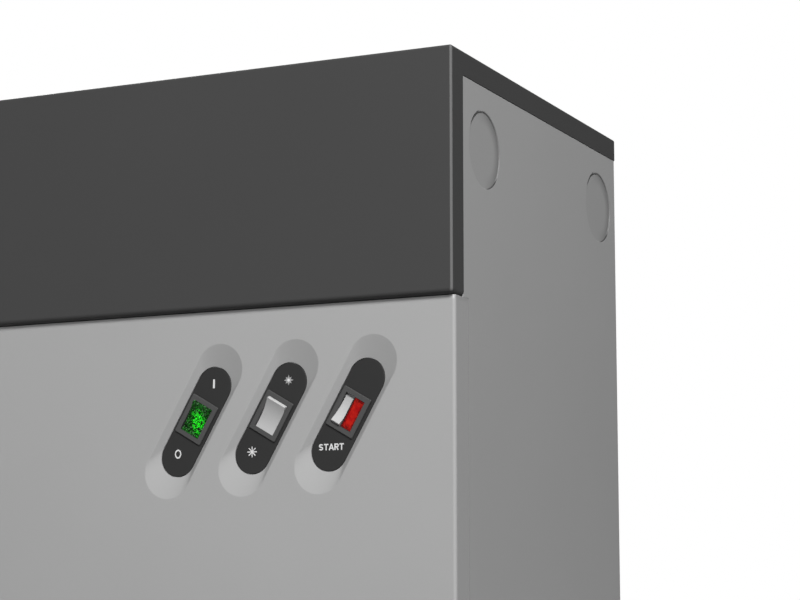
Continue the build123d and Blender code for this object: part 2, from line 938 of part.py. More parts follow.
def make_contactor():
    x = contactor_middle()
    half = contactor_width / 2
    front = rail_y - contactor_depth
    low = rail_z - contactor_height / 2
    high = rail_z + contactor_height / 2
    body = block((x - half, x + half), (front, rail_y), (low, high))
    step_x = (x - half - cut_past, x + half + cut_past)
    step_y = (front - cut_past, front + contactor_step)
    for step_z in ((low - cut_past, low + contactor_step), (high - contactor_step, high + cut_past)):
        body -= block(step_x, step_y, step_z)
    well_half = armature_width / 2 + armature_gap
    well_rise = armature_height / 2 + armature_gap
    well_depth = armature_length - armature_stand + armature_travel + armature_gap
    well_y = (front - cut_past, front + well_depth)
    body -= block((x - well_half, x + well_half), well_y, (rail_z - well_rise, rail_z + well_rise))
    save("contactor_body", body)
    armature = block(
        (x - armature_width / 2, x + armature_width / 2),
        (front - armature_stand, front - armature_stand + armature_length),
        (rail_z - armature_height / 2, rail_z + armature_height / 2),
    )
    save("contactor_armature", fillet(armature.edges().group_by(Axis.Y)[0], armature_edge_radius))


def make_terminal_strip():
    start = contactor_middle() + contactor_width / 2 + terminal_margin
    front = rail_y - terminal_depth
    low = rail_z - terminal_height / 2
    high = rail_z + terminal_height / 2
    throat = terminal_throat
    strip = block((start, start + terminal_count * terminal_pitch), (front, rail_y), (low, high))
    entry_y = (front + wire_entry_setback, front + wire_entry_setback + wire_entry_height)
    for index in range(terminal_count):
        x = start + (index + 0.5) * terminal_pitch
        strip -= block((x - throat, x + throat), entry_y, (low - cut_past, low + wire_entry_depth))
        strip -= block((x - throat, x + throat), entry_y, (high - wire_entry_depth, high + cut_past))
        for z in (low + terminal_pitch, high - terminal_pitch):
            strip -= along_y(x, front - cut_past, z, throat, throat + cut_past)
    groove_half = terminal_groove / 2
    groove_y = (front - cut_past, front + terminal_pitch)
    for index in range(1, terminal_count):
        x = start + index * terminal_pitch
        strip -= block((x - groove_half, x + groove_half), groove_y, (low - cut_past, high + cut_past))
    save("terminal_strip", strip)


def board_row(count, start, width, pitch, y, z):
    """A row of like blocks along the board, with the first one's left side at start."""
    lefts = [start + index * pitch for index in range(count)]
    return [block((left, left + width), y, z) for left in lefts]


def make_control_board():
    left, right, low, high = board_limits()
    back = etray_back_y - sheet - post_length
    front = back - board_thickness
    relay_z = (low + relay_rise, low + relay_rise + relay_height)
    plug_z = (high - plug_drop - plug_height, high - plug_drop)
    transformer_z = (low + transformer_rise, low + transformer_rise + transformer_height)
    transformer_x = (right - transformer_margin - transformer_width, right - transformer_margin)
    board = block((left, right), (front, back), (low, high))
    board += board_row(
        relay_count, left + relay_margin, relay_width, relay_pitch, (front - relay_depth, front), relay_z
    )
    board += board_row(
        plug_count, left + plug_margin, plug_width, plug_pitch, (front - plug_depth, front), plug_z
    )
    board += block(transformer_x, (front - transformer_depth, front), transformer_z)
    can_front = front - smoothing_height
    for index in range(smoothing_count):
        x = left + smoothing_margin + smoothing_radius + smoothing_pitch * index
        board += along_y(x, can_front, high - smoothing_drop, smoothing_radius, smoothing_height)
    save("control_board", board)


def make_run_capacitor():
    x = etray_right - sheet - capacitor_margin - capacitor_radius
    y = etray_back_y - sheet - capacitor_margin - capacitor_radius
    low = etray_bottom + sheet
    can_top = low + capacitor_height
    can = upright(x, y, low, capacitor_radius, capacitor_height)
    can = fillet(can.edges().filter_by(GeomType.CIRCLE), capacitor_rim)
    for side in (-1, 1):
        tab_x = x + side * capacitor_tab_offset
        can += block(
            (tab_x - tab_width / 2, tab_x + tab_width / 2),
            (y - tab_thickness / 2, y + tab_thickness / 2),
            (can_top - cut_past, can_top + capacitor_tab_reach),
        )
    save("run_capacitor", can)


def make_cable_glands():
    glands = []
    inner_y = rear_y - sheet - gland_nut
    bore_length = gland_reach + sheet + gland_nut + 2 * cut_past
    for x in gland_places():
        dome = along_y(x, rear_y, gland_level, gland_across / 2 - gland_dome_inset, gland_reach)
        gland = fillet(dome.edges().filter_by(GeomType.CIRCLE).sort_by(Axis.Y)[-1], gland_dome_radius)
        gland += hexagon_y(x, rear_y, gland_level, gland_across, gland_reach / 2)
        gland += hexagon_y(x, inner_y, gland_level, gland_across, gland_nut)
        gland += along_y(x, inner_y, gland_level, gland_hole_radius - gland_clearance, sheet + gland_nut)
        gland -= along_y(x, inner_y - cut_past, gland_level, gland_bore, bore_length)
        glands.append(gland)
    save("cable_glands", glands)


def domed_can(x, y, z, radius, height, dome):
    """A closed can with rounded shoulders at both ends."""
    can = upright(x, y, z, radius, height)
    return fillet(can.edges().filter_by(GeomType.CIRCLE), dome)


def grommet_places():
    offsets = (-mount_hole_offset, mount_hole_offset)
    return [(compressor_x + x, compressor_y + y) for x in offsets for y in offsets]


def bearing_spider(rise):
    """A bearing for the shaft, on a disc with holes that carries it from the shell's wall."""
    x, y, z = compressor_x, compressor_y, shell_z + rise
    disc = upright(x, y, z, compressor_radius - compressor_wall / 2, bearing_thickness)
    hole_z = z - cut_past
    hole_height = bearing_thickness + 2 * cut_past
    disc -= upright(x, y, hole_z, shaft_radius + bearing_clearance, hole_height)
    for index in range(spider_holes):
        angle = 2 * math.pi * (index + 0.5) / spider_holes
        hole_x = x + spider_ring * math.cos(angle)
        hole_y = y + spider_ring * math.sin(angle)
        disc -= upright(hole_x, hole_y, hole_z, spider_hole_radius, hole_height)
    return disc


def make_compressor_shell():
    x, y = compressor_x, compressor_y
    wall = compressor_wall
    room_radius = compressor_radius - wall
    port_radius = gas_pipe_radius - copper_wall
    shell = domed_can(x, y, shell_z, compressor_radius, compressor_height, compressor_dome)
    room_height = compressor_height - 2 * wall
    shell -= domed_can(x, y, shell_z + wall, room_radius, room_height, compressor_dome - wall)
    shell += bearing_spider(lower_bearing_rise)
    shell += bearing_spider(upper_bearing_rise)
    half = mount_plate_half
    plate = block((x - half, x + half), (y - half, y + half), (mount_plate_z, shell_z + wall / 2))
    plate = fillet(plate.edges().filter_by(Axis.Z), mount_plate_corner)
    plate -= upright(x, y, shell_z, compressor_radius - compressor_dome, wall)
    hole_z = mount_plate_z - cut_past
    for hole_x, hole_y in grommet_places():
        plate -= upright(hole_x, hole_y, hole_z, mount_hole_radius, mount_plate_thickness + wall)
    shell += plate
    shell += upright(x, y, shell_top - wall, gas_pipe_radius + socket_step, wall + stub_length)
    shell -= upright(x, y, shell_top - wall - cut_past, port_radius, wall + stub_length + 2 * cut_past)
    port_z = shell_z + suction_port_rise
    shell += along_x(x + room_radius, y, port_z, gas_pipe_radius + socket_step, wall + stub_length)
    shell -= along_x(x + room_radius - cut_past, y, port_z, port_radius, wall + stub_length + 2 * cut_past)
    save("compressor_shell", shell)


def make_terminal_cover():
    x = compressor_x
    front = compressor_y - compressor_radius - cap_stand
    low = shell_z + cap_rise
    cap = block((x - cap_width / 2, x + cap_width / 2), (front, front + cap_depth), (low, low + cap_height))
    cap = fillet(cap.edges().group_by(Axis.Y)[0], cap_edge_radius)
    seat_radius = compressor_radius + cap_seat_gap
    cap -= upright(x, compressor_y, low - cut_past, seat_radius, cap_height + 2 * cut_past)
    save("terminal_cover", cap)


def make_grommets():
    grommets = []
    plate_top = shell_z + compressor_wall / 2
    neck_radius = mount_hole_radius - grommet_clearance
    for x, y in grommet_places():
        cap = upright(x, y, plate_top, grommet_cap_radius, grommet_cap)
        cap = fillet(cap.edges().filter_by(GeomType.CIRCLE).sort_by(Axis.Z)[-1], grommet_edge_radius)
        pad = upright(x, y, floor_z, grommet_radius, grommet_height)
        grommets.append(pad + upright(x, y, floor_z, neck_radius, plate_top - floor_z) + cap)
    save("compressor_grommets", grommets)


def make_compressor_motor():
    x, y = compressor_x, compressor_y
    low = shell_z + stator_rise
    high = low + stator_length
    ring = compressor_radius - compressor_wall - stator_clearance
    winding_low = low - winding_reach
    winding_height = stator_length + 2 * winding_reach
    stator = upright(x, y, low, ring, stator_length)
    stator -= upright(x, y, low - cut_past, stator_bore, stator_length + 2 * cut_past)
    winding = upright(x, y, winding_low, ring - winding_inset, winding_height)
    winding -= upright(
        x, y, winding_low - cut_past, stator_bore + winding_bore_margin, winding_height + 2 * cut_past
    )
    save("compressor_stator", stator + winding)
    rotor = upright(x, y, low, stator_bore - air_gap, stator_length)
    weight = upright(x, y, high, stator_bore - counterweight_inset, counterweight_height)
    weight &= block(
        (x, x + stator_bore), (y - stator_bore, y + stator_bore), (high, high + counterweight_height)
    )
    bearing_top = shell_z + lower_bearing_rise + bearing_thickness
    shaft_low = shell_z + lower_bearing_rise - shaft_tail
    shaft_high = shell_z + upper_bearing_rise + bearing_thickness
    rotor += upright(x, y, shaft_low, shaft_radius, shaft_high - shaft_low)
    rotor += upright(x + eccentric_offset, y, bearing_top + eccentric_gap, eccentric_radius, eccentric_height)
    save("compressor_rotor", rotor + weight)


def make_accumulator():
    x, y = accumulator_x, compressor_y
    can = domed_can(x, y, accumulator_z, accumulator_radius, accumulator_height, accumulator_dome)
    socket_z = accumulator_top - stub_sink
    can += upright(x, y, socket_z, gas_pipe_radius + socket_step, stub_length)
    can -= upright(x, y, socket_z, gas_pipe_radius - copper_wall, stub_length + cut_past)
    level = shell_z + suction_port_rise
    points = [
        (x, y, accumulator_z + stub_sink),
        (x, y, level),
        (compressor_x + compressor_radius + stub_length, y, level),
    ]
    save("suction_accumulator", can + pipe(points, gas_pipe_radius, copper_wall, gas_bend))


def plate_outline(inset, y, thickness, middle):
    """One rounded plate of an exchanger's stack."""
    width = exchanger_width - 2 * inset
    outline = RectangleRounded(width, exchanger_height - 2 * inset, exchanger_corner - inset)
    return Location((middle, y, floor_z + exchanger_height / 2), (90, 0, 0)) * extrude(outline, -thickness)


def exchanger(middle):
    """A stack of pressed plates between two end plates, with four port stubs on its front."""
    stack = plate_outline(0, exchanger_front_y, end_plate, middle)
    stack += plate_outline(0, exchanger_rear_y - end_plate, end_plate, middle)
    for index in range(stack_plates):
        inset = stack_inset if index % 2 else stack_inset / 3
        plate_front = exchanger_front_y + end_plate + index * stack_pitch
        stack += plate_outline(inset, plate_front, stack_pitch, middle)
    water_bore = water_pipe_radius - water_pipe_wall
    ports = [
        (middle - port_half_pitch, bottom_port_z, liquid_pipe_radius - copper_wall),
        (middle - port_half_pitch, top_port_z, gas_pipe_radius - copper_wall),
        (middle + port_half_pitch, bottom_port_z, water_bore),
        (middle + port_half_pitch, top_port_z, water_bore),
    ]
    for x, z, bore in ports:
        stack += along_y(x, stub_y, z, bore + port_stub_wall, port_stub + end_plate)
        stack -= along_y(x, stub_y - cut_past, z, bore, port_bore_depth + cut_past)
    return stack


def make_exchangers():
    save("load_exchanger", exchanger(load_x - port_half_pitch))
    save("source_exchanger", exchanger(source_x - port_half_pitch))


def make_reversing_valve():
    x, y, z = reversing_x, reversing_y, reversing_z
    left = x - reversing_length / 2
    body = along_x(left, y, z, reversing_radius, reversing_length)
    for start in (left, left + reversing_length - reversing_end):
        body += along_x(start, y, z, reversing_radius + reversing_end_step, reversing_end)
    socket = gas_pipe_radius + socket_step
    bore = gas_pipe_radius - copper_wall
    port_length = reversing_radius + stub_length
    low_ports = [x - reversing_port_pitch, x, x + reversing_port_pitch]
    body += upright(x, y, z, socket, port_length)
    for port_x in low_ports:
        body += upright(port_x, y, reversing_low, socket, port_length)
    body -= along_x(left + reversing_end, y, z, reversing_bore, reversing_length - 2 * reversing_end)
    body -= upright(x, y, z, bore, port_length + cut_past)
    for port_x in low_ports:
        body -= upright(port_x, y, reversing_low - cut_past, bore, port_length + cut_past)
    save("reversing_valve", body)


def make_reversing_slide():
    """Two pistons on a rod, with a shoe that joins two of the lower ports at a time."""
    y, z = reversing_y, reversing_z
    piston = reversing_bore - slide_clearance
    middle = slide_left + slide_length / 2
    shoe_half = reversing_port_pitch / 2 + gas_pipe_radius - copper_wall + shoe_margin
    shoe_x = (middle - shoe_half, middle + shoe_half)
    slide = along_x(slide_left, y, z, slide_rod_radius, slide_length)
    slide += along_x(slide_left, y, z, piston, slide_piston)
    slide += along_x(slide_left + slide_length - slide_piston, y, z, piston, slide_piston)
    slide += block(shoe_x, (y - shoe_half_width, y + shoe_half_width), (z - shoe_drop, z))
    save("reversing_slide", slide)


def make_reversing_coil():
    """The pilot valve with its coil, held to the main valve's body by a saddle."""
    x, z = reversing_x, reversing_z
    y = reversing_y - reversing_radius - pilot_gap - pilot_radius
    pilot = along_x(x - pilot_length / 2, y, z, pilot_radius, pilot_length)
    coil = along_x(x + pilot_length / 2 - coil_length - coil_inset, y, z, coil_radius, coil_length)
    coil = fillet(coil.edges().filter_by(GeomType.CIRCLE), coil_edge_radius)
    saddle_left = x - saddle_shift
    seat_radius = reversing_radius + saddle_clearance
    saddle_z = (z - saddle_half_height, z + saddle_half_height)
    saddle = block((saddle_left, saddle_left + saddle_width), (y, reversing_y), saddle_z)
    saddle -= along_x(saddle_left - cut_past, reversing_y, z, seat_radius, saddle_width + 2 * cut_past)
    save("reversing_coil", pilot + coil + saddle)


def make_expansion_valve():
    x, y, z = expansion_x, expansion_y, expansion_level
    half = expansion_block / 2
    body = block((x - half, x + half), (y - half, y + half), (expansion_low, z + half))
    body = chamfer(body.edges().filter_by(Axis.Z), expansion_chamfer)
    body += upright(x, y, z + half, expansion_stem_radius, expansion_stem)
    head = upright(x, y, z + half + expansion_stem, expansion_head_radius, expansion_head_height)
    body += fillet(head.edges().filter_by(GeomType.CIRCLE), expansion_head_height / 3)
    body += along_x(x + half, y, z, liquid_pipe_radius + socket_step, stub_length)
    body -= along_x(x, y, z, liquid_pipe_radius - copper_wall, half + stub_length + cut_past)
    body -= upright(x, y, expansion_low - cut_past, needle_chamber, half + cut_past)
    body -= upright(x, y, z - cut_past, needle_radius + needle_clearance, needle_length)
    save("expansion_valve", body)
    needle = upright(x, y, z - needle_tip, needle_radius, needle_length - needle_tip)
    point = needle.edges().filter_by(GeomType.CIRCLE).sort_by(Axis.Z)[0]
    save("expansion_needle", chamfer(point, needle_point))


def make_filter_drier():
    x, y, z = expansion_x, expansion_y, drier_low
    neck = liquid_pipe_radius + socket_step
    cone = (Align.CENTER, Align.CENTER, Align.MIN)
    body_z = z + drier_neck + drier_cone
    drier = upright(x, y, z, neck, drier_neck)
    drier += Pos(x, y, z + drier_neck) * Cone(neck, drier_radius, drier_cone, align=cone)
    drier += upright(x, y, body_z, drier_radius, drier_body)
    drier += Pos(x, y, body_z + drier_body) * Cone(drier_radius, neck, drier_cone, align=cone)
    drier += upright(x, y, body_z + drier_body + drier_cone, neck, drier_neck)
    drier -= upright(x, y, z - cut_past, liquid_pipe_radius - copper_wall, drier_neck)
    save("filter_drier", drier)


def make_refrigerant_lines():
    y = reversing_y
    port = reversing_port_pitch
    discharge_level = reversing_high + discharge_rise
    discharge = [
        (compressor_x, compressor_y, shell_top + stub_length),
        (compressor_x, compressor_y, discharge_level),
        (compressor_x, y, discharge_level),
        (reversing_x, y, discharge_level),
        (reversing_x, y, reversing_high),
    ]
    suction_level = reversing_low - suction_drop
    suction = [
        (reversing_x, y, reversing_low),
        (reversing_x, y, suction_level),
        (reversing_x, compressor_y, suction_level),
        (accumulator_x, compressor_y, suction_level),
        (accumulator_x, compressor_y, accumulator_port_z),
    ]
    load_gas = [
        (reversing_x + port, y, reversing_low),
        (reversing_x + port, y, top_port_z),
        (load_gas_x, y, top_port_z),
        (load_gas_x, stub_y, top_port_z),
    ]
    low_level = top_port_z - 2 * gas_bend - straight_end
    source_gas = [
        (reversing_x - port, y, reversing_low),
        (reversing_x - port, y, low_level),
        (source_gas_x, y, low_level),
        (source_gas_x, y, top_port_z),
        (source_gas_x, stub_y, top_port_z),
    ]
    gas_lines = {
        "discharge_line": discharge,
        "suction_line": suction,
        "load_gas_line": load_gas,
        "source_gas_line": source_gas,
    }
    for name, points in gas_lines.items():
        save(name, pipe(points, gas_pipe_radius, copper_wall, gas_bend))
    liquid = [
        (load_gas_x, stub_y, bottom_port_z),
        (load_gas_x, expansion_y, bottom_port_z),
        (expansion_x, expansion_y, bottom_port_z),
        (expansion_x, expansion_y, drier_low),
    ]
    feed = [
        (expansion_x + expansion_block / 2 + stub_length, expansion_y, expansion_level),
        (source_gas_x, expansion_y, expansion_level),
        (source_gas_x, expansion_y, bottom_port_z),
        (source_gas_x, stub_y, bottom_port_z),
    ]
    save("liquid_line", pipe(liquid, liquid_pipe_radius, copper_wall, liquid_bend))
    save("feed_line", pipe(feed, liquid_pipe_radius, copper_wall, liquid_bend))


def lead(points):
    """A round lead of straight runs joined by tangent bends."""
    path = FilletPolyline(*points, radius=lead_bend)
    return sweep(Plane(origin=path @ 0, z_dir=path % 0) * Circle(lead_radius), path)


def compressor_lead():
    y = frame_front_y + lead_setback
    x = etray_left + compressor_lead_inset
    level = shell_z + cap_rise + cap_height / 2
    cover_front = compressor_y - compressor_radius - cap_stand
    points = [(x, y, etray_bottom), (x, y, level + lead_bend), (compressor_x, y, level)]
    return lead(points + [(compressor_x, cover_front, level)])


def pump_lead(x, order):
    y = frame_front_y + lead_setback
    box_y = (motor_front + pump_back) / 2
    box_low = pump_level - motor_radius - motor_box_height
    drop_x = etray_right - pump_lead_inset + order * lead_pitch
    low = box_low - pump_lead_drop + (order - 1) * lead_pitch
    return lead([(drop_x, y, etray_bottom), (drop_x, y, low), (x, box_y, low), (x, box_y, box_low)])


def switch_lead(index):
    start = (switch_place(index) * Pos(bezel_shift, bezel_rise, -switch_body_depth)).position
    y = frame_front_y + switch_lead_setback + index * lead_pitch
    return lead([(start.X, start.Y, start.Z), (start.X, y, start.Z), (etray_right, y, start.Z)])


def make_wiring_leads():
    """One lead to the compressor, one to each pump and one to each switch."""
    leads = [compressor_lead(), pump_lead(source_x, 0), pump_lead(load_x, 1)]
    save("wiring_leads", leads + [switch_lead(index) for index in range(switch_count)])


def pump_volute(x):
    """A cast housing with two necks in line, each with its union nut."""
    volute = along_y(x, pump_back, pump_level, volute_radius, volute_thickness)
    volute = fillet(volute.edges().filter_by(GeomType.CIRCLE), volute_edge_radius)
    volute += upright(x, pump_y, pump_level - pump_port_reach, pump_neck_radius, 2 * pump_port_reach)
    nut_reach = pump_port_reach - union_margin
    volute += hexagon_z(x, pump_y, pump_level + nut_reach - union_height, union_across, union_height)
    volute += hexagon_z(x, pump_y, pump_level - nut_reach, union_across, union_height)
    room = impeller_radius + impeller_clearance
    room_length = volute_thickness - volute_face - volute_back
    volute -= along_y(x, pump_back + volute_face, pump_level, room, room_length)
    shaft_bore = pump_shaft_radius + bearing_clearance
    volute -= along_y(x, pump_back - cut_past, pump_level, shaft_bore, volute_face + 2 * cut_past)
    bore = water_pipe_radius - water_pipe_wall
    inner_reach = room - pump_port_overlap
    port_length = pump_port_reach - inner_reach + cut_past
    volute -= upright(x, pump_y, pump_level + inner_reach, bore, port_length)
    volute -= upright(x, pump_y, pump_level - pump_port_reach - cut_past, bore, port_length)
    return volute


def pump_motor(x):
    """A finned motor housing, open towards the volute, with its wiring box below."""
    motor = along_y(x, motor_front, pump_level, motor_radius, motor_length)
    motor = fillet(motor.edges().filter_by(GeomType.CIRCLE).sort_by(Axis.Y)[0], motor_edge_radius)
    groove = block(
        (x - fin_width / 2, x + fin_width / 2),
        (motor_front + fin_margin, pump_back - fin_margin),
        (pump_level + motor_radius - fin_depth, pump_level + motor_radius + cut_past),
    )
    axis = Axis((x, 0, pump_level), (0, 1, 0))
    for index in range(motor_fins):
        angle = 360 / motor_fins * index
        if abs(angle - 180) > bare_angle:
            motor -= groove.rotate(axis, angle)
    middle = (motor_front + pump_back) / 2
    low = pump_level - motor_radius
    wiring = block(
        (x - motor_box_width / 2, x + motor_box_width / 2),
        (middle - motor_box_length / 2, middle + motor_box_length / 2),
        (low - motor_box_height, low + motor_box_sink),
    )
    motor += fillet(wiring.edges().group_by(Axis.Z)[0], motor_box_radius)
    motor -= along_y(x, motor_front + motor_cap, pump_level, can_radius + can_clearance, motor_length)
    shaft_bore = pump_shaft_radius + bearing_clearance
    motor -= along_y(x, motor_front + motor_front_wall, pump_level, shaft_bore, motor_cap)
    return motor


def pump_rotor(x):
    """Shaft, rotor can and impeller as one turning piece."""
    shaft_start = motor_front + motor_front_wall + shaft_end_gap
    impeller_y = pump_back + volute_face + impeller_clearance
    plate_end = impeller_y + impeller_plate
    rotor = along_y(x, shaft_start, pump_level, pump_shaft_radius, plate_end - shaft_start)
    rotor += along_y(x, motor_front + motor_cap + can_setback, pump_level, can_radius, can_length)
    rotor += along_y(x, impeller_y, pump_level, impeller_radius, impeller_plate)
    vane = block(
        (x - impeller_vane / 2, x + impeller_vane / 2),
        (impeller_y, plate_end + impeller_vane_height),
        (pump_level + vane_inner_radius, pump_level + vane_outer_radius),
    )
    axis = Axis((x, 0, pump_level), (0, 1, 0))
    for index in range(impeller_vanes):
        rotor += vane.rotate(axis, 360 / impeller_vanes * index)
    return rotor


def make_pumps():
    for name, x in (("load_pump", load_x), ("source_pump", source_x)):
        save(name + "_volute", pump_volute(x))
        save(name + "_motor", pump_motor(x))
        save(name + "_rotor", pump_rotor(x))


def connection(x, z):
    """The threaded nipple that carries a water pipe out through the rear panel."""
    start = rear_y - connection_inside
    length = connection_inside + connection_reach
    relief = connection_radius - thread_relief_depth
    groove_y = rear_y + thread_relief_start
    groove = along_y(x, groove_y, z, connection_radius + cut_past, thread_relief_length)
    groove -= along_y(x, groove_y - cut_past, z, relief, thread_relief_length + 2 * cut_past)
    bore = along_y(x, start - cut_past, z, water_pipe_radius - water_pipe_wall, length + 2 * cut_past)
    return along_y(x, start, z, connection_radius, length) - groove - bore


def make_water_pipes():
    for name, x in (("load", load_x), ("source", source_x)):
        pipe_end = rear_y - connection_inside
        flow = [
            (x, stub_y, top_port_z),
            (x, riser_y, top_port_z),
            (x, riser_y, flow_level),
            (x, pipe_end, flow_level),
        ]
        back = [
            (x, pump_y, pump_level + pump_port_reach),
            (x, pump_y, return_level),
            (x, pipe_end, return_level),
        ]
        lower = [
            (x, pump_y, pump_level - pump_port_reach),
            (x, pump_y, bottom_port_z),
            (x, stub_y, bottom_port_z),
        ]
        flow_tube, upper_tube, lower_tube = [
            pipe(points, water_pipe_radius, water_pipe_wall, water_bend) for points in (flow, back, lower)
        ]
        save(name + "_flow_pipe", flow_tube + connection(x, flow_level))
        save(name + "_return_pipes", [upper_tube + connection(x, return_level), lower_tube])


make_base_tray()
make_feet()
make_side_panels()
make_rear_panel()
make_panel_screws()
make_top_hood()
make_front_panel()
make_switch_console()
make_switch_plates()
make_switch_bodies()
make_rockers()
make_start_lens()
make_switch_tabs()
make_electrics_tray()
make_electrics_cover()
make_din_rail()
make_contactor()
make_terminal_strip()
make_control_board()
make_run_capacitor()
make_cable_glands()
make_compressor_shell()
make_terminal_cover()
make_grommets()
make_compressor_motor()
make_accumulator()
make_exchangers()
make_reversing_valve()
make_reversing_slide()
make_reversing_coil()
make_expansion_valve()
make_filter_drier()
make_refrigerant_lines()
make_pumps()
make_water_pipes()
make_wiring_leads()
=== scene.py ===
import json
import math

import bmesh
import bpy
from mathutils import Matrix, Vector


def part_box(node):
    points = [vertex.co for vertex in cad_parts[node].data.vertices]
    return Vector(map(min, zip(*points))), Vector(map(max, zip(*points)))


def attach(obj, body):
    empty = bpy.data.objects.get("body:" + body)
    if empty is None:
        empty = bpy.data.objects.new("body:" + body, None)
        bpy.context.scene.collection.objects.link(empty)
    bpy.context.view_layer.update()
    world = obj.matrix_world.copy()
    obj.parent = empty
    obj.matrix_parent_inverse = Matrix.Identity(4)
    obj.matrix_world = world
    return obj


bl_info = {
    "name": "Heat pump cabinet",
    "version": (1, 0, 0),
    "blender": (4, 5, 0),
    "location": "View3D > Sidebar > Heat Pump",
    "description": "Finishes, printed marks and fine details for the heat pump's packed model",
    "category": "Object",
}

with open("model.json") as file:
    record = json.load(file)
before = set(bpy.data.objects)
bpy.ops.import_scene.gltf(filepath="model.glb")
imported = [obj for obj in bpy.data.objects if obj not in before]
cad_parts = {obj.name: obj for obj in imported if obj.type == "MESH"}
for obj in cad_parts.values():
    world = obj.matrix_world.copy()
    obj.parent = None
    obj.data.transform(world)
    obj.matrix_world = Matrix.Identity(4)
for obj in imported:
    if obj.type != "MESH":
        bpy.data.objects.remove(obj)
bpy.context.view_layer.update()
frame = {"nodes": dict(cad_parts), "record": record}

MM = 0.001

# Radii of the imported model's round parts, in millimetres.
KNOCKOUT = 30
GAS_PIPE = 8
LIQUID_PIPE = 5
WATER_PIPE = 14
ACCUMULATOR = 38
SHELL = 80

# How far apart the exchangers' pressed plates lie, in millimetres.
PLATE_PITCH = 4.2

# How far the switch plates lean to the right, and the directions across and along them.
LEAN = math.radians(30)
ACROSS_PLATE = Vector((math.cos(LEAN), 0, -math.sin(LEAN)))
ALONG_PLATE = Vector((math.sin(LEAN), 0, math.cos(LEAN)))

# What the node group of a finish puts out, and the angle from which an added piece's edges stay sharp.
SURFACE = ("Color", "Roughness", "Height")
SHARP_ANGLE = math.radians(32)

# The materials made here, by name. Blender numbers the ones that share a packed material's name.
finishes = {}


class StageSettings(bpy.types.PropertyGroup):
    """The camera, the floor and the lamps."""

    camera_place: bpy.props.FloatVectorProperty(
        name="Camera Place",
        description="Where the camera stands",
        size=3,
        default=(0.9394, -1.6264, 0.5668),
        subtype="TRANSLATION",
        unit="LENGTH",
    )
    camera_yaw: bpy.props.FloatProperty(
        name="Camera Turn",
        description="How far the camera is turned to the left of straight ahead",
        default=math.radians(25.29),
        subtype="ANGLE",
    )
    camera_pitch: bpy.props.FloatProperty(
        name="Camera Tilt",
        description="How far the camera looks up",
        default=math.radians(8.762),
        subtype="ANGLE",
    )
    camera_lens: bpy.props.FloatProperty(
        name="Lens", description="Focal length on a 36 mm sensor", default=99.70, unit="CAMERA"
    )
    floor_color: bpy.props.FloatVectorProperty(
        name="Floor Colour",
        description="Colour of the floor",
        size=3,
        default=(0.86, 0.86, 0.86),
        subtype="COLOR",
    )
    key_power: bpy.props.FloatProperty(
        name="Front Lamp",
        description="Power of the lamp above the front right corner",
        default=248.0,
        subtype="POWER",
    )
    back_power: bpy.props.FloatProperty(
        name="Back Lamp",
        description="Power of the lamp above the rear left corner",
        default=190.0,
        subtype="POWER",
    )
    ambient: bpy.props.FloatProperty(
        name="Ambient", description="Brightness of the room around the object", default=0.04, min=0.0
    )


class CabinetSettings(bpy.types.PropertyGroup):
    """The powder coats of the cabinet."""

    hood_color: bpy.props.FloatVectorProperty(
        name="Hood Colour",
        description="Powder coat of the top hood",
        size=3,
        default=(0.0515, 0.0515, 0.0515),
        subtype="COLOR",
    )
    panel_color: bpy.props.FloatVectorProperty(
        name="Panel Colour",
        description="Powder coat of the panels",
        size=3,
        default=(0.35, 0.35, 0.35),
        subtype="COLOR",
    )
    grain_size: bpy.props.FloatProperty(
        name="Grain Size", description="Width of one bump of the powder coat", default=0.9 * MM, unit="LENGTH"
    )
    grain_depth: bpy.props.FloatProperty(
        name="Grain Depth", description="Height of the powder coat's bumps", default=0.02 * MM, unit="LENGTH"
    )


class SwitchSettings(bpy.types.PropertyGroup):
    """The printed marks beside the switches, and the lit rocker."""

    mark_color: bpy.props.FloatVectorProperty(
        name="Mark Colour",
        description="Ink of the printed marks",
        size=3,
        default=(0.68, 0.68, 0.68),
        subtype="COLOR",
    )
    mark_thickness: bpy.props.FloatProperty(
        name="Ink Thickness",
        description="How far the ink stands out of the plate",
        default=0.08 * MM,
        unit="LENGTH",
    )
    lit_color: bpy.props.FloatVectorProperty(
        name="Lit Rocker",
        description="Light of the power rocker",
        size=3,
        default=(0.01, 1.0, 0.01),
        subtype="COLOR",
    )


def wire(tree, source, socket):
    """Links an output to a socket, or sets the socket to a plain number, vector or colour."""
    if isinstance(source, bpy.types.NodeSocket):
        tree.links.new(source, socket)
    elif socket.type == "RGBA":
        socket.default_value = (*source, 1.0)
    else:
        socket.default_value = source


def feed(tree, node, values):
    """Links or sets a node's inputs by their names."""
    for label, value in values.items():
        wire(tree, value, node.inputs[label])


def place_nodes(tree):
    """Lays the nodes out in columns, so that the tree can be read in the editor."""
    for index, node in enumerate(tree.nodes):
        node.location = (220 * (index % 6), -320 * (index // 6))


def new_group(name, inputs, outputs=("Color",)):
    """An empty shader node group, the sockets that it is given and the sockets of its result."""
    group = bpy.data.node_groups.new(name, "ShaderNodeTree")
    for label, value in inputs.items():
        if isinstance(value, float):
            kind = "NodeSocketFloat"
        else:
            kind = "NodeSocketColor" if len(value) == 4 else "NodeSocketVector"
        group.interface.new_socket(name=label, in_out="INPUT", socket_type=kind).default_value = value
    for label in outputs:
        kind = "NodeSocketColor" if label == "Color" else "NodeSocketFloat"
        group.interface.new_socket(name=label, in_out="OUTPUT", socket_type=kind)
    return group, group.nodes.new("NodeGroupInput").outputs, group.nodes.new("NodeGroupOutput").inputs


def close_group(group, result, values):
    """Links a group's results by their names."""
    for label, value in values.items():
        wire(group, value, result[label])
    place_nodes(group)
    return group


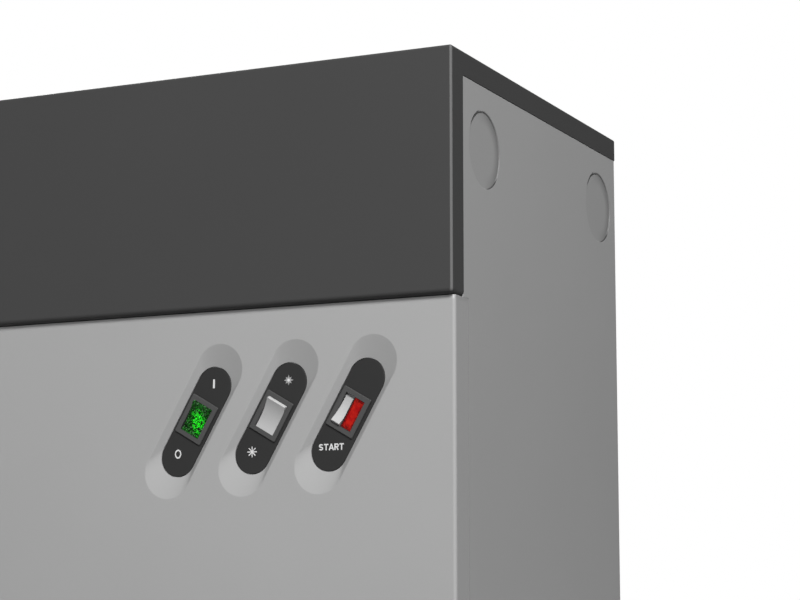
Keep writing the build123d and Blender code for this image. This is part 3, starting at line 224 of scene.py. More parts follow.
def close_surface(group, result, color, roughness, change, height):
    """Links the results of a finish: its colour, its roughness with small changes, and its height."""
    uneven = math_node(group, "ADD", roughness, change)
    return close_group(group, result, {"Color": color, "Roughness": uneven, "Height": height})


def texture_coords(tree, kind="Object"):
    return tree.nodes.new("ShaderNodeTexCoord").outputs[kind]


def split_axes(tree, vector):
    """A vector's X, Y and Z."""
    node = tree.nodes.new("ShaderNodeSeparateXYZ")
    wire(tree, vector, node.inputs[0])
    return node.outputs


def noise(tree, coords, scale, detail=2.0, roughness=0.5):
    """A noise value, which stays mostly between 0.3 and 0.7."""
    node = tree.nodes.new("ShaderNodeTexNoise")
    feed(tree, node, {"Vector": coords, "Scale": scale, "Detail": detail, "Roughness": roughness})
    return node.outputs["Fac"]


def crystals(tree, coords, scale):
    """Flat cells with three random numbers each, named Red, Green and Blue."""
    cells = tree.nodes.new("ShaderNodeTexVoronoi")
    feed(tree, cells, {"Vector": coords, "Scale": scale})
    split = tree.nodes.new("ShaderNodeSeparateColor")
    wire(tree, cells.outputs["Color"], split.inputs["Color"])
    return split.outputs


def math_node(tree, operation, first, second=0.0):
    node = tree.nodes.new("ShaderNodeMath")
    node.operation = operation
    wire(tree, first, node.inputs[0])
    wire(tree, second, node.inputs[1])
    return node.outputs[0]


def vector_node(tree, operation, first, second=(0.0, 0.0, 0.0)):
    """A sum or product of vectors, or the plain number that a length or a dot product gives."""
    node = tree.nodes.new("ShaderNodeVectorMath")
    node.operation = operation
    wire(tree, first, node.inputs[0])
    wire(tree, second, node.inputs[1])
    return node.outputs["Value" if operation in ("LENGTH", "DOT_PRODUCT") else "Vector"]


def remap(tree, value, low, high, new_low, new_high):
    """A value taken from one range to another, and held inside it."""
    node = tree.nodes.new("ShaderNodeMapRange")
    ends = {"From Min": low, "From Max": high, "To Min": new_low, "To Max": new_high}
    feed(tree, node, {"Value": value, **ends})
    return node.outputs["Result"]


def spread(tree, value, new_low, new_high):
    """A noise value's usual band taken to another range."""
    return remap(tree, value, 0.3, 0.7, new_low, new_high)


def shade(tree, color, factor):
    """The colour multiplied by a value."""
    node = tree.nodes.new("ShaderNodeVectorMath")
    node.operation = "SCALE"
    wire(tree, color, node.inputs[0])
    wire(tree, factor, node.inputs["Scale"])
    return node.outputs["Vector"]


def blend_colors(tree, factor, first, second):
    node = tree.nodes.new("ShaderNodeMix")
    node.data_type = "RGBA"
    wire(tree, factor, node.inputs["Factor"])
    colors = [socket for socket in node.inputs if socket.type == "RGBA"]
    wire(tree, first, colors[0])
    wire(tree, second, colors[1])
    return [socket for socket in node.outputs if socket.type == "RGBA"][0]


def build_powder_group():
    """Powder coat: fine orange peel, small specks and a slow drift of tone."""
    inputs = {"Color": (0.4, 0.4, 0.4, 1.0), "Grain Size": 0.9 * MM, "Roughness": 0.45}
    group, given, result = new_group("Powder Coat", inputs, SURFACE)
    coords = texture_coords(group)
    peel_scale = math_node(group, "DIVIDE", 1.0, given["Grain Size"])
    peel = noise(group, coords, peel_scale)
    fine = noise(group, coords, math_node(group, "MULTIPLY", peel_scale, 3.1), 2.0, 0.6)
    drift = noise(group, coords, 5.0, 3.0)
    tone = math_node(group, "MULTIPLY", spread(group, drift, 0.982, 1.018), spread(group, fine, 0.975, 1.025))
    color = shade(group, given["Color"], tone)
    height = math_node(group, "ADD", peel, math_node(group, "MULTIPLY", fine, 0.35))
    return close_surface(group, result, color, given["Roughness"], spread(group, peel, -0.05, 0.05), height)


def build_moulded_group():
    """Moulded plastic: a spark-eroded grain with small changes of tone and gloss."""
    inputs = {"Color": (0.2, 0.2, 0.2, 1.0), "Grain Size": 0.35 * MM, "Roughness": 0.5}
    group, given, result = new_group("Moulded Grain", inputs, SURFACE)
    coords = texture_coords(group)
    grain = noise(group, coords, math_node(group, "DIVIDE", 1.0, given["Grain Size"]), 3.0, 0.65)
    flow = noise(group, coords, 38.0)
    tone = math_node(group, "MULTIPLY", spread(group, grain, 0.94, 1.06), spread(group, flow, 0.97, 1.03))
    color = shade(group, given["Color"], tone)
    return close_surface(group, result, color, given["Roughness"], spread(group, grain, -0.07, 0.07), grain)


def build_metal_group():
    """Bare metal: a fine grain drawn out along one axis, and a slow bloom of oxide."""
    inputs = {
        "Color": (0.6, 0.6, 0.6, 1.0),
        "Oxide": (0.3, 0.25, 0.2, 1.0),
        "Oxide Amount": 0.3,
        "Grain Stretch": (1.0, 1.0, 0.08),
        "Roughness": 0.32,
    }
    group, given, result = new_group("Bare Metal", inputs, SURFACE)
    coords = texture_coords(group)
    drawn = noise(group, vector_node(group, "MULTIPLY", coords, given["Grain Stretch"]), 1400.0, 2.0, 0.6)
    bloom = noise(group, coords, 30.0, 4.0, 0.6)
    amount = math_node(group, "MULTIPLY", remap(group, bloom, 0.42, 0.72, 0.0, 1.0), given["Oxide Amount"])
    mixed = blend_colors(group, amount, given["Color"], given["Oxide"])
    color = shade(group, mixed, spread(group, drawn, 0.93, 1.07))
    dulled = math_node(group, "ADD", given["Roughness"], math_node(group, "MULTIPLY", amount, 0.35))
    return close_surface(group, result, color, dulled, spread(group, drawn, -0.04, 0.04), drawn)


def build_zinc_group():
    """Hot-dip zinc: flat crystals of slightly different greys and gloss."""
    inputs = {"Color": (0.55, 0.56, 0.57, 1.0), "Crystal Size": 5.5 * MM, "Roughness": 0.38}
    group, given, result = new_group("Zinc Spangle", inputs, SURFACE)
    coords = texture_coords(group)
    cells = crystals(group, coords, math_node(group, "DIVIDE", 1.0, given["Crystal Size"]))
    frost = noise(group, coords, 600.0, 3.0, 0.6)
    gray = remap(group, cells["Red"], 0.0, 1.0, 0.9, 1.06)
    tone = math_node(group, "MULTIPLY", gray, spread(group, frost, 0.95, 1.05))
    color = shade(group, given["Color"], tone)
    gloss = remap(group, cells["Green"], 0.0, 1.0, -0.08, 0.1)
    return close_surface(group, result, color, given["Roughness"], gloss, frost)


def build_casting_group():
    """Enamelled casting: sand-cast bumps that the enamel rounds off, with thin dark pores."""
    inputs = {"Color": (0.3, 0.05, 0.04, 1.0), "Bump Size": 1.8 * MM, "Roughness": 0.42}
    group, given, result = new_group("Casting", inputs, SURFACE)
    coords = texture_coords(group)
    scale = math_node(group, "DIVIDE", 1.0, given["Bump Size"])
    sand = noise(group, coords, scale, 4.0, 0.6)
    pores = noise(group, coords, math_node(group, "MULTIPLY", scale, 0.6))
    color = shade(group, given["Color"], remap(group, pores, 0.3, 0.42, 0.72, 1.0))
    return close_surface(group, result, color, given["Roughness"], spread(group, sand, -0.06, 0.1), sand)


def build_fold_light_group():
    """The upright folds of bent sheet with painted light: a fold factor above 1 paints a highlight on them,
    and one below 1 paints shade.
    """
    group, given, result = new_group("Upright Folds Painted Light", {"Color": (0.4, 0.4, 0.4, 1.0), "Painted Fold Light": 1.0})
    normal = split_axes(group, texture_coords(group, "Normal"))
    across = math_node(group, "ABSOLUTE", normal["X"])
    along = math_node(group, "ABSOLUTE", normal["Y"])
    fold_light = remap(group, math_node(group, "MULTIPLY", across, along), 0.1, 0.35, 0.0, 1.0)
    painted_fold_color = shade(group, given["Color"], given["Painted Fold Light"])
    return close_group(group, result, {"Color": blend_colors(group, fold_light, given["Color"], painted_fold_color)})


def build_seam_group():
    """Thin copper seams between the pressed plates of a brazed stack."""
    inputs = {
        "Color": (0.6, 0.6, 0.58, 1.0),
        "Seam Color": (0.5, 0.2, 0.1, 1.0),
        "First Plate": 0.0,
        "Pitch": PLATE_PITCH * MM,
    }
    group, given, result = new_group("Brazed Seams", inputs)
    coords = texture_coords(group)
    from_first = math_node(group, "SUBTRACT", split_axes(group, coords)["Y"], given["First Plate"])
    count = math_node(group, "DIVIDE", from_first, given["Pitch"])
    share = math_node(group, "FRACT", math_node(group, "ADD", count, 0.12))
    seam = math_node(group, "LESS_THAN", share, spread(group, noise(group, coords, 90.0, 3.0), 0.1, 0.3))
    copper = math_node(group, "MULTIPLY", seam, math_node(group, "GREATER_THAN", count, -0.05))
    seamed = blend_colors(group, copper, given["Color"], given["Seam Color"])
    return close_group(group, result, {"Color": seamed})


def build_knockout_shade_group():
    """Painted shade of a pressed knock-out in a side panel: its disc a little darker, darker still near its
    upper rear rim, a painted shadow just outside its upper front edge, and painted shade on its lower rear
    wall.
    """
    inputs = {"Color": (0.4, 0.4, 0.4, 1.0), "Middle": (0.0, 0.0, 0.0), "Radius": KNOCKOUT * MM}
    group, given, result = new_group("Knock-out Painted Shade", inputs)
    away = vector_node(group, "SUBTRACT", texture_coords(group), given["Middle"])
    flat = vector_node(group, "MULTIPLY", away, (0.0, 1.0, 1.0))
    share = math_node(group, "DIVIDE", vector_node(group, "LENGTH", flat), given["Radius"])
    sides = []
    for angle in (15, 131, -62):
        heading = (0.0, math.cos(math.radians(angle)), math.sin(math.radians(angle)))
        reach = vector_node(group, "DOT_PRODUCT", flat, heading)
        sides.append(math_node(group, "DIVIDE", reach, given["Radius"]))
    shaded_side, high_side, low_side = sides
    # Painted shade inside the disc: darker towards the rim on the upper rear side, and a little darker all
    # over.
    ring = remap(group, share, 0.64, 0.97, 0.0, 1.0)
    shaded = math_node(group, "MULTIPLY", ring, remap(group, shaded_side, -0.2, 0.6, 0.0, 0.4))
    disc_end = 0.972
    disc = math_node(group, "LESS_THAN", share, disc_end)
    disc_painted_shade = math_node(group, "MULTIPLY", disc, math_node(group, "ADD", shaded, 0.075))
    normal = split_axes(group, texture_coords(group, "Normal"))
    wall = math_node(group, "LESS_THAN", math_node(group, "ABSOLUTE", normal["X"]), 0.9)
    sheared = math_node(group, "MULTIPLY", math_node(group, "GREATER_THAN", share, 0.95), wall)
    # Painted shade on the sheared wall at the lower rear, where the wall would catch the light.
    low_wall_painted_shade = math_node(group, "MULTIPLY", sheared, remap(group, low_side, 0.86, 0.94, 0.0, 0.85))
    edge = math_node(group, "GREATER_THAN", share, disc_end)
    # A painted shadow: a thin dark line just outside the disc at its upper front.
    upper_edge_painted_shadow = math_node(group, "MULTIPLY", edge, remap(group, high_side, 0.935, 0.975, 0.0, 0.85))
    # All the painted shade and shadow together, taken off the colour.
    painted_shade = math_node(group, "MAXIMUM", disc_painted_shade, math_node(group, "MAXIMUM", low_wall_painted_shade, upper_edge_painted_shadow))
    inside = math_node(group, "LESS_THAN", share, 1.022)
    kept = math_node(group, "SUBTRACT", 1.0, math_node(group, "MULTIPLY", painted_shade, inside))
    return close_group(group, result, {"Color": shade(group, given["Color"], kept)})


def new_material(name):
    """The node tree of a new material, and its Principled shader."""
    finishes[name] = bpy.data.materials.new(name)
    finishes[name].use_nodes = True
    tree = finishes[name].node_tree
    tree.nodes.clear()
    shader = tree.nodes.new("ShaderNodeBsdfPrincipled")
    output = tree.nodes.new("ShaderNodeOutputMaterial")
    wire(tree, shader.outputs["BSDF"], output.inputs["Surface"])
    return tree, shader


def close_material(tree, shader, values):
    """Links or sets the shader's inputs by their names."""
    feed(tree, shader, values)
    place_nodes(tree)


def add_relief(tree, shader, height, depth):
    """Bumps the surface by a height value times a depth in metres."""
    relief = tree.nodes.new("ShaderNodeBump")
    feed(tree, relief, {"Distance": depth, "Height": height})
    wire(tree, relief.outputs["Normal"], shader.inputs["Normal"])


def use_group(tree, group, values):
    """Places a node group with its own values, and gives back its results."""
    node = tree.nodes.new("ShaderNodeGroup")
    node.node_tree = group
    feed(tree, node, values)
    return node.outputs


def finish_from(group, name, color, bump, gloss=0.5, metallic=0.0, coat=0.0, overlays=(), **values):
    """A material whose colour, roughness and relief come from a group, with plain numbers on the shader."""
    tree, shader = new_material(name)
    named = {label.replace("_", " ").title(): value for label, value in values.items()}
    effect = use_group(tree, group, {"Color": color, **named})
    tinted = effect["Color"]
    for overlay, settings in overlays:
        tinted = use_group(tree, overlay, {"Color": tinted, **settings})["Color"]
    add_relief(tree, shader, effect["Height"], bump)
    plain = {"Specular IOR Level": gloss, "Metallic": metallic, "Coat Weight": coat}
    close_material(tree, shader, {"Base Color": tinted, "Roughness": effect["Roughness"], **plain})


def build_ink(name, color):
    """Printed ink, slightly uneven."""
    tree, shader = new_material(name)
    cover = noise(tree, texture_coords(tree), 3000.0)
    inked = blend_colors(tree, spread(tree, cover, 0.0, 1.0), tuple(0.93 * c for c in color), color)
    rough = spread(tree, cover, 0.45, 0.6)
    close_material(tree, shader, {"Base Color": inked, "Roughness": rough, "Specular IOR Level": 0.2})


def build_lit_green(name, settings):
    """Translucent green over a lamp: faceted prisms that glow brighter towards the middle."""
    tree, shader = new_material(name)
    coords = texture_coords(tree)
    prisms = crystals(tree, coords, 1350.0)
    lamp = middle_of("power_rocker") + Vector((1.2 * MM, 0, -1.0 * MM))
    away = vector_node(tree, "SUBTRACT", coords, lamp)
    reach = vector_node(tree, "LENGTH", vector_node(tree, "MULTIPLY", away, (1.6, 1.0, 0.85)))
    glow = remap(tree, reach, 2 * MM, 12.5 * MM, 1.0, 0.03)
    clouds = remap(tree, noise(tree, coords, 260.0), 0.35, 0.65, 0.5, 1.2)
    sparkle = remap(tree, prisms["Red"], 0.54, 0.74, 0.0, 1.0)
    light = math_node(tree, "MULTIPLY", math_node(tree, "MULTIPLY", glow, clouds), sparkle)
    # Painted light: the base colour is lighter on the facets that sparkle, and pale green specks stand in for
    # glints.
    tinted = blend_colors(tree, sparkle, (0.001, 0.004, 0.001), (0.01, 0.06, 0.01))
    painted_glint = math_node(tree, "GREATER_THAN", prisms["Blue"], 0.9)
    add_relief(tree, shader, prisms["Green"], 0.05 * MM)
    values = {
        "Base Color": blend_colors(tree, painted_glint, tinted, (0.07, 0.17, 0.07)),
        "Emission Color": blend_colors(tree, light, (0.0, 0.004, 0.0), settings.lit_color),
        "Emission Strength": 1.9,
        "Roughness": 0.3,
        "Specular IOR Level": 0.05,
    }
    close_material(tree, shader, values)


def build_red_lens(name):
    """Translucent red lens with a mottled reflector behind it, and painted shade towards its edges."""
    tree, shader = new_material(name)
    coords = texture_coords(tree)
    mottle = noise(tree, coords, 900.0, 3.0, 0.7)
    away = vector_node(tree, "SUBTRACT", coords, middle_of("start_lamp_lens"))
    shares = []
    for direction, half in ((ACROSS_PLATE, 3.6), (ALONG_PLATE, 10.6)):
        along = math_node(tree, "ABSOLUTE", vector_node(tree, "DOT_PRODUCT", away, direction))
        shares.append(math_node(tree, "DIVIDE", along, half * MM))
    # Painted shade: the lens darkens towards its edges, where its dark mottles grow.
    edge = remap(tree, math_node(tree, "MAXIMUM", shares[0], shares[1]), 0.7, 1.0, 0.2, 1.0)
    mottle_and_edge_shade = math_node(tree, "MULTIPLY", remap(tree, mottle, 0.38, 0.62, 1.0, 0.25), edge)
    clouds = remap(tree, noise(tree, coords, 260.0), 0.4, 0.6, 0.0, 1.0)
    reds = blend_colors(tree, clouds, (0.25, 0.003, 0.004), (0.4, 0.013, 0.007))
    add_relief(tree, shader, mottle, 0.06 * MM)
    values = {
        "Base Color": blend_colors(tree, mottle_and_edge_shade, reds, (0.03, 0.001, 0.001)),
        "Emission Color": blend_colors(tree, mottle_and_edge_shade, (0.1, 0.001, 0.001), (0.0, 0.0, 0.0)),
        "Emission Strength": 1.0,
        "Roughness": 0.3,
        "Specular IOR Level": 0.08,
    }
    close_material(tree, shader, values)


def build_clear_cover(name):
    """Clear polycarbonate, with a faint haze."""
    tree, shader = new_material(name)
    haze = noise(tree, texture_coords(tree), 60.0, 3.0)
    values = {
        "Base Color": blend_colors(tree, haze, (0.93, 0.96, 0.97), (0.97, 0.98, 0.99)),
        "Roughness": spread(tree, haze, 0.04, 0.09),
        "Transmission Weight": 1.0,
        "IOR": 1.45,
    }
    close_material(tree, shader, values)


def knockout_middles():
    """The middles of the two knock-outs in each side panel."""
    from_front, from_rear, from_top = 62.2, 41.4, 67.4
    hood_low, hood_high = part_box("top_hood")
    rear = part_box("right_side_panel")[1].y
    level = hood_high.z - from_top * MM
    return [(0.0, hood_low.y + from_front * MM, level), (0.0, rear - from_rear * MM, level)]


def build_finishes(scene):
    """One material for each of the record's slots, by the slot's name, and five more that few pieces have."""
    cabinet = scene.heat_pump_cabinet
    powder = build_powder_group()
    moulded = build_moulded_group()
    metal = build_metal_group()
    zinc = build_zinc_group()
    casting = build_casting_group()
    fold_light = build_fold_light_group()
    # The knock-outs' painted shade and shadow, placed at each knock-out's middle.
    rim = build_knockout_shade_group()
    rims = [(rim, {"Middle": middle, "Radius": KNOCKOUT * MM}) for middle in knockout_middles()]
    # The hood's folds get a painted highlight (2.6). The side panels' folds get painted shade (0.55), and the
    # side panels also get the knock-outs' painted shade.
    paints = (
        ("hood_paint", cabinet.hood_color, 0.1, 0.6, [(fold_light, {"Painted Fold Light": 2.6})]),
        ("side_paint_with_painted_shade", cabinet.panel_color, 0.25, 0.45, [(fold_light, {"Painted Fold Light": 0.55})] + rims),
        ("cabinet_paint", cabinet.panel_color, 0.25, 0.45, []),
    )
    for name, color, gloss, roughness, overlays in paints:
        values = {"roughness": roughness, "grain_size": cabinet.grain_size}
        finish_from(powder, name, color, cabinet.grain_depth, gloss, overlays=overlays, **values)
    in_front = 17
    first_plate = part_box("load_exchanger")[0].y + in_front * MM
    seams = [(build_seam_group(), {"First Plate": first_plate, "Pitch": PLATE_PITCH * MM})]
    straw = (0.5, 0.42, 0.3)
    bronze = (0.4, 0.26, 0.1)
    umber = (0.32, 0.12, 0.06)
    soot = (0.25, 0.12, 0.06)
    dull = dict(metallic=0.8, roughness=0.42, oxide_amount=0.1)
    enamel = dict(roughness=0.2, grain_size=2.2 * MM, coat=0.4)
    # Each row: the group, the name, the colour, the bumps' height in millimetres, and the other values.
    rows = (
        (zinc, "galvanised", (0.55, 0.56, 0.57), 0.01, dict(metallic=0.75)),
        (moulded, "rubber", (0.028, 0.028, 0.028), 0.03, dict(roughness=0.75, grain_size=0.6 * MM)),
        (moulded, "plate_plastic", (0.02, 0.02, 0.02), 0.01, dict(gloss=0.18, roughness=0.5)),
        (moulded, "switch_plastic", (0.056, 0.056, 0.056), 0.01, dict(gloss=0.25, roughness=0.45)),
        (moulded, "light_rocker", (0.44, 0.44, 0.44), 0.004, dict(gloss=0.4, roughness=0.34)),
        (metal, "tab_brass", (0.78, 0.7, 0.5), 0.004, dict(metallic=1.0, oxide_amount=0.15)),
        (moulded, "device_plastic", (0.13, 0.14, 0.15), 0.02, dict(roughness=0.5)),
        (moulded, "terminal_plastic", (0.5, 0.5, 0.47), 0.02, dict(roughness=0.5)),
        (moulded, "armature_plastic", (0.45, 0.05, 0.03), 0.02, dict(roughness=0.45)),
        (moulded, "board", (0.012, 0.12, 0.05), 0.02, dict(roughness=0.35, grain_size=1.4 * MM)),
        (metal, "can_aluminium", (0.78, 0.79, 0.8), 0.006, dict(metallic=1.0, oxide_amount=0.1)),
        (moulded, "gland_plastic", (0.04, 0.04, 0.04), 0.02, dict(roughness=0.55)),
        (powder, "compressor_paint", (0.014, 0.014, 0.016), 0.06, enamel),
        (metal, "motor_steel", (0.45, 0.44, 0.42), 0.03, dict(metallic=1.0, grain_stretch=(0.05, 0.05, 1.0))),
        (metal, "shaft_steel", (0.62, 0.62, 0.62), 0.004, dict(metallic=1.0, oxide_amount=0.1)),
        (metal, "exchanger_steel", (0.6, 0.6, 0.58), 0.01, dict(metallic=1.0, oxide=straw, overlays=seams)),
        (metal, "copper", (0.86, 0.46, 0.3), 0.004, dict(metallic=1.0, oxide=umber, oxide_amount=0.75)),
        (metal, "valve_brass", (0.8, 0.62, 0.3), 0.02, dict(metallic=1.0, oxide=bronze, oxide_amount=0.6)),
        (moulded, "coil_plastic", (0.016, 0.04, 0.14), 0.02, dict(roughness=0.4)),
        (powder, "drier_paint", (0.015, 0.09, 0.3), 0.03, dict(roughness=0.3)),
        (casting, "pump_iron", (0.26, 0.022, 0.016), 0.25, {}),
        (casting, "pump_motor", (0.05, 0.054, 0.06), 0.15, {}),
        (moulded, "impeller_plastic", (0.17, 0.17, 0.17), 0.02, dict(roughness=0.5)),
        (metal, "braze", (0.82, 0.68, 0.42), 0.03, dict(metallic=1.0, oxide=soot, oxide_amount=0.5)),
        (metal, "disc_aluminium", (0.36, 0.37, 0.38), 0.01, dull),
        (moulded, "winding_tape", (0.62, 0.42, 0.06), 0.02, dict(roughness=0.35, grain_size=1.1 * MM)),
        (moulded, "tag_white", (0.62, 0.62, 0.6), 0.01, dict(roughness=0.4)),
    )
    for group, name, color, bump, values in rows:
        finish_from(group, name, color, bump * MM, **values)
    build_lit_green("green_rocker", scene.heat_pump_switches)
    build_red_lens("red_lens")
    build_clear_cover("clear_cover")


def add_object(name, data):
    """Puts a new object into the scene."""
    made = bpy.data.objects.new(name, data)
    bpy.context.scene.collection.objects.link(made)
    return made


def new_piece(name, bm, material_name, body):
    """Makes the object of a finished bmesh, with the material of that name and the body it rides on.

    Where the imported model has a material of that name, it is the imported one.
    """
    bmesh.ops.recalc_face_normals(bm, faces=bm.faces)
    mesh = bpy.data.meshes.new(name)
    bm.to_mesh(mesh)
    bm.free()
    mesh.shade_smooth()
    mesh.set_sharp_from_angle(angle=SHARP_ANGLE)
    mesh.materials.append(bpy.data.materials[material_name])
    piece = add_object(name, mesh)
    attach(piece, body)


def spot(x, y, z, axis="Z"):
    """The frame at a point in metres whose own Z axis runs along an axis of the object."""
    turns = {
        "Z": Matrix.Identity(4),
        "-Z": Matrix.Rotation(math.pi, 4, "X"),
        "Y": Matrix.Rotation(-math.pi / 2, 4, "X"),
        "-Y": Matrix.Rotation(math.pi / 2, 4, "X"),
        "X": Matrix.Rotation(math.pi / 2, 4, "Y"),
        "-X": Matrix.Rotation(-math.pi / 2, 4, "Y"),
    }
    return Matrix.Translation((x, y, z)) @ turns[axis]


def lifted(place, height):
    """The same frame, moved along its own Z axis by millimetres."""
    return place @ Matrix.Translation((0, 0, height * MM))


def newer(bm, old):
    """The vertices that a bmesh has gained."""
    return [vert for vert in bm.verts if vert not in old]


def add_turned(bm, place, profile, steps=24):
    """Turns a profile of (radius, height) pairs in millimetres about the place's Z axis.

    A profile that starts away from the axis is closed into a ring.
    """
    old = set(bm.verts)
    points = [bm.verts.new((radius * MM, 0, height * MM)) for radius, height in profile]
    pairs = list(zip(points, points[1:]))
    if profile[0][0] > 0:
        pairs.append((points[-1], points[0]))
    edges = [bm.edges.new(pair) for pair in pairs]
    turn = {"cent": (0, 0, 0), "axis": (0, 0, 1), "angle": 2 * math.pi}
    bmesh.ops.spin(bm, geom=points + edges, steps=steps, use_merge=True, **turn)
    bmesh.ops.remove_doubles(bm, verts=newer(bm, old), dist=1e-7)
    bmesh.ops.transform(bm, verts=newer(bm, old), matrix=place)


def add_ring(bm, place, inner, outer, low, high, steps=24):
    """A ring between two radii and two heights, in millimetres."""
    add_turned(bm, place, [(inner, low), (outer, low), (outer, high), (inner, high)], steps)


def add_block(bm, place, size, bevel=0.3):
    """A block with rounded edges, its base on the place and its size in millimetres."""
    grown = Matrix.Diagonal((size[0] * MM, size[1] * MM, size[2] * MM, 1.0))
    raised = Matrix.Translation((0, 0, size[2] * MM / 2))
    made = bmesh.ops.create_cube(bm, size=1.0, matrix=place @ raised @ grown)
    edges = list({edge for vert in made["verts"] for edge in vert.link_edges})
    rounding = {"offset_type": "OFFSET", "segments": 2, "profile": 0.5, "material": -1, "affect": "EDGES"}
    bmesh.ops.bevel(bm, geom=edges, offset=bevel * MM, **rounding)


def add_hexagon(bm, place, across, height):
    """A hexagon with chamfered corners, its base on the place."""
    corner = 0.577 * across
    chamfer = [(0.5 * across, height), (corner, height - 0.1 * across)]
    add_turned(bm, place, [(0, height)] + chamfer + [(corner, 0), (0, 0)], 6)


def add_screw(bm, place, radius, height=1.6, steps=12):
    """A low cylinder head with its driver's recess."""
    deep = 0.35 * height
    recess = [(0, deep), (0.32 * radius, deep), (0.42 * radius, height)]
    rim = [(0.86 * radius, height), (radius, 0.7 * height), (radius, 0), (0, 0)]
    add_turned(bm, place, recess + rim, steps)


def add_tube(bm, points, radius):
    """A thin tube along a smooth line near the given points, in millimetres."""
    data = bpy.data.curves.new("tube", "CURVE")
    data.dimensions = "3D"
    data.bevel_depth = radius * MM
    data.bevel_resolution = 2
    data.resolution_u = 6
    data.use_fill_caps = True
    line = data.splines.new("NURBS")
    line.points.add(len(points) - 1)
    for spline_point, point in zip(line.points, points):
        spline_point.co = (*(value * MM for value in point), 1.0)
    line.order_u = 3
    line.use_endpoint_u = True
    holder = bpy.data.objects.new("tube", data)
    mesh = bpy.data.meshes.new_from_object(holder)
    old = set(bm.verts)
    bm.from_mesh(mesh)
    bmesh.ops.remove_doubles(bm, verts=newer(bm, old), dist=1e-6)
    bpy.data.objects.remove(holder)
    bpy.data.curves.remove(data)
    bpy.data.meshes.remove(mesh)


def middle_of(node):
    """The middle of a node's box at rest."""
    low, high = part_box(node)
    return (low + high) / 2


def upright_spot(plate, offset):
    """The frame at a place on a switch plate's face, so many millimetres across and along the plate.

    Its X runs to the right, its Y up and its Z out of the plate.
    """
    low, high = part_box(plate)
    middle = Vector(((low.x + high.x) / 2, low.y, (low.z + high.z) / 2))
    leaning = Matrix((ACROSS_PLATE, ALONG_PLATE, Vector((0, -1, 0)))).transposed().to_4x4()
    place = Matrix.Translation(middle) @ leaning @ Vector((offset[0] * MM, offset[1] * MM, 0))
    upright = Matrix(((1, 0, 0), (0, 0, 1), (0, -1, 0))).transposed().to_4x4()
    return Matrix.Translation(place) @ upright


class HEATPUMP_OT_stage(bpy.types.Operator):
    """Sets up the camera, the floor, the lamps and the white surroundings"""

    bl_idname = "heatpump.stage"
    bl_label = "Stage"

    def execute(self, context):
        settings = context.scene.heat_pump_stage
        self.add_camera(context.scene, settings)
        self.add_floor(settings.floor_color)
        self.add_lamp("front_lamp", (2.1, -3.0, 3.1), 1.0, settings.key_power)
        self.add_lamp("back_lamp", (-2.6, 2.2, 2.4), 1.6, settings.back_power)
        self.add_surroundings(context.scene, settings.ambient)
        context.scene.view_settings.view_transform = "Standard"
        return {"FINISHED"}

    def add_camera(self, scene, settings):
        data = bpy.data.cameras.new("camera")
        data.sensor_width = 36.0
        data.sensor_fit = "HORIZONTAL"
        data.lens = settings.camera_lens
        camera = add_object("camera", data)
        camera.location = settings.camera_place
        camera.rotation_euler = (math.radians(90) + settings.camera_pitch, 0, settings.camera_yaw)
        scene.camera = camera

    def add_floor(self, color):
        """A disc that takes shadows near the object and fades to the white surroundings."""
        bm = bmesh.new()
        bmesh.ops.create_circle(bm, cap_ends=True, segments=96, radius=9.0)
        mesh = bpy.data.meshes.new("floor")
        bm.to_mesh(mesh)
        bm.free()
        tree, shader = new_material("floor_card")
        path = tree.nodes.new("ShaderNodeLightPath").outputs
        seen = math_node(tree, "MAXIMUM", self.clear_rays(tree, path), path["Is Glossy Ray"])
        reach = vector_node(tree, "LENGTH", texture_coords(tree))
        far = remap(tree, reach, 0.7, 1.9, 0.0, 1.0)
        dimmed = tuple(0.15 * c for c in color)
        faded = blend_colors(tree, far, color, (0.0, 0.0, 0.0))
        glow = math_node(tree, "MULTIPLY", far, seen)
        values = {
            "Base Color": blend_colors(tree, seen, dimmed, faded),
            "Emission Color": blend_colors(tree, glow, (0.0, 0.0, 0.0), (1.0, 1.0, 1.0)),
            "Emission Strength": 1.0,
            "Roughness": 0.9,
            "Specular IOR Level": 0.0,
        }
        close_material(tree, shader, values)
        mesh.materials.append(finishes["floor_card"])
        add_object("floor", mesh)

    def clear_rays(self, tree, path):
        """1 for what is seen straight on or through glass."""
        return math_node(tree, "MAXIMUM", path["Is Camera Ray"], path["Is Transmission Ray"])

    def add_lamp(self, name, place, size, power):
        data = bpy.data.lights.new(name, "AREA")
        data.shape = "SQUARE"
        data.size = size
        data.energy = power
        lamp = add_object(name, data)
        lamp.location = place
        aim = Vector((0, 0, 0.6)) - Vector(place)
        lamp.rotation_euler = aim.to_track_quat("-Z", "Y").to_euler()

    def add_surroundings(self, scene, ambient):
        """White where the camera or a reflection sees it, and a dim room for the rest."""
        world = bpy.data.worlds.new("surroundings")
        world.use_nodes = True
        scene.world = world
        tree = world.node_tree
        tree.nodes.clear()
        background = tree.nodes.new("ShaderNodeBackground")
        output = tree.nodes.new("ShaderNodeOutputWorld")
        path = tree.nodes.new("ShaderNodeLightPath").outputs
        direction = split_axes(tree, texture_coords(tree, "Generated"))
        front = remap(tree, direction["Y"], -0.2, 0.7, 1.0, 0.12)
        mirrored = math_node(tree, "MULTIPLY", path["Is Glossy Ray"], front)
        seen = math_node(tree, "MAXIMUM", self.clear_rays(tree, path), mirrored)
        strength = math_node(tree, "MAXIMUM", seen, ambient)
        feed(tree, background, {"Color": (1.0, 1.0, 1.0), "Strength": strength})
        wire(tree, background.outputs[0], output.inputs["Surface"])
        place_nodes(tree)


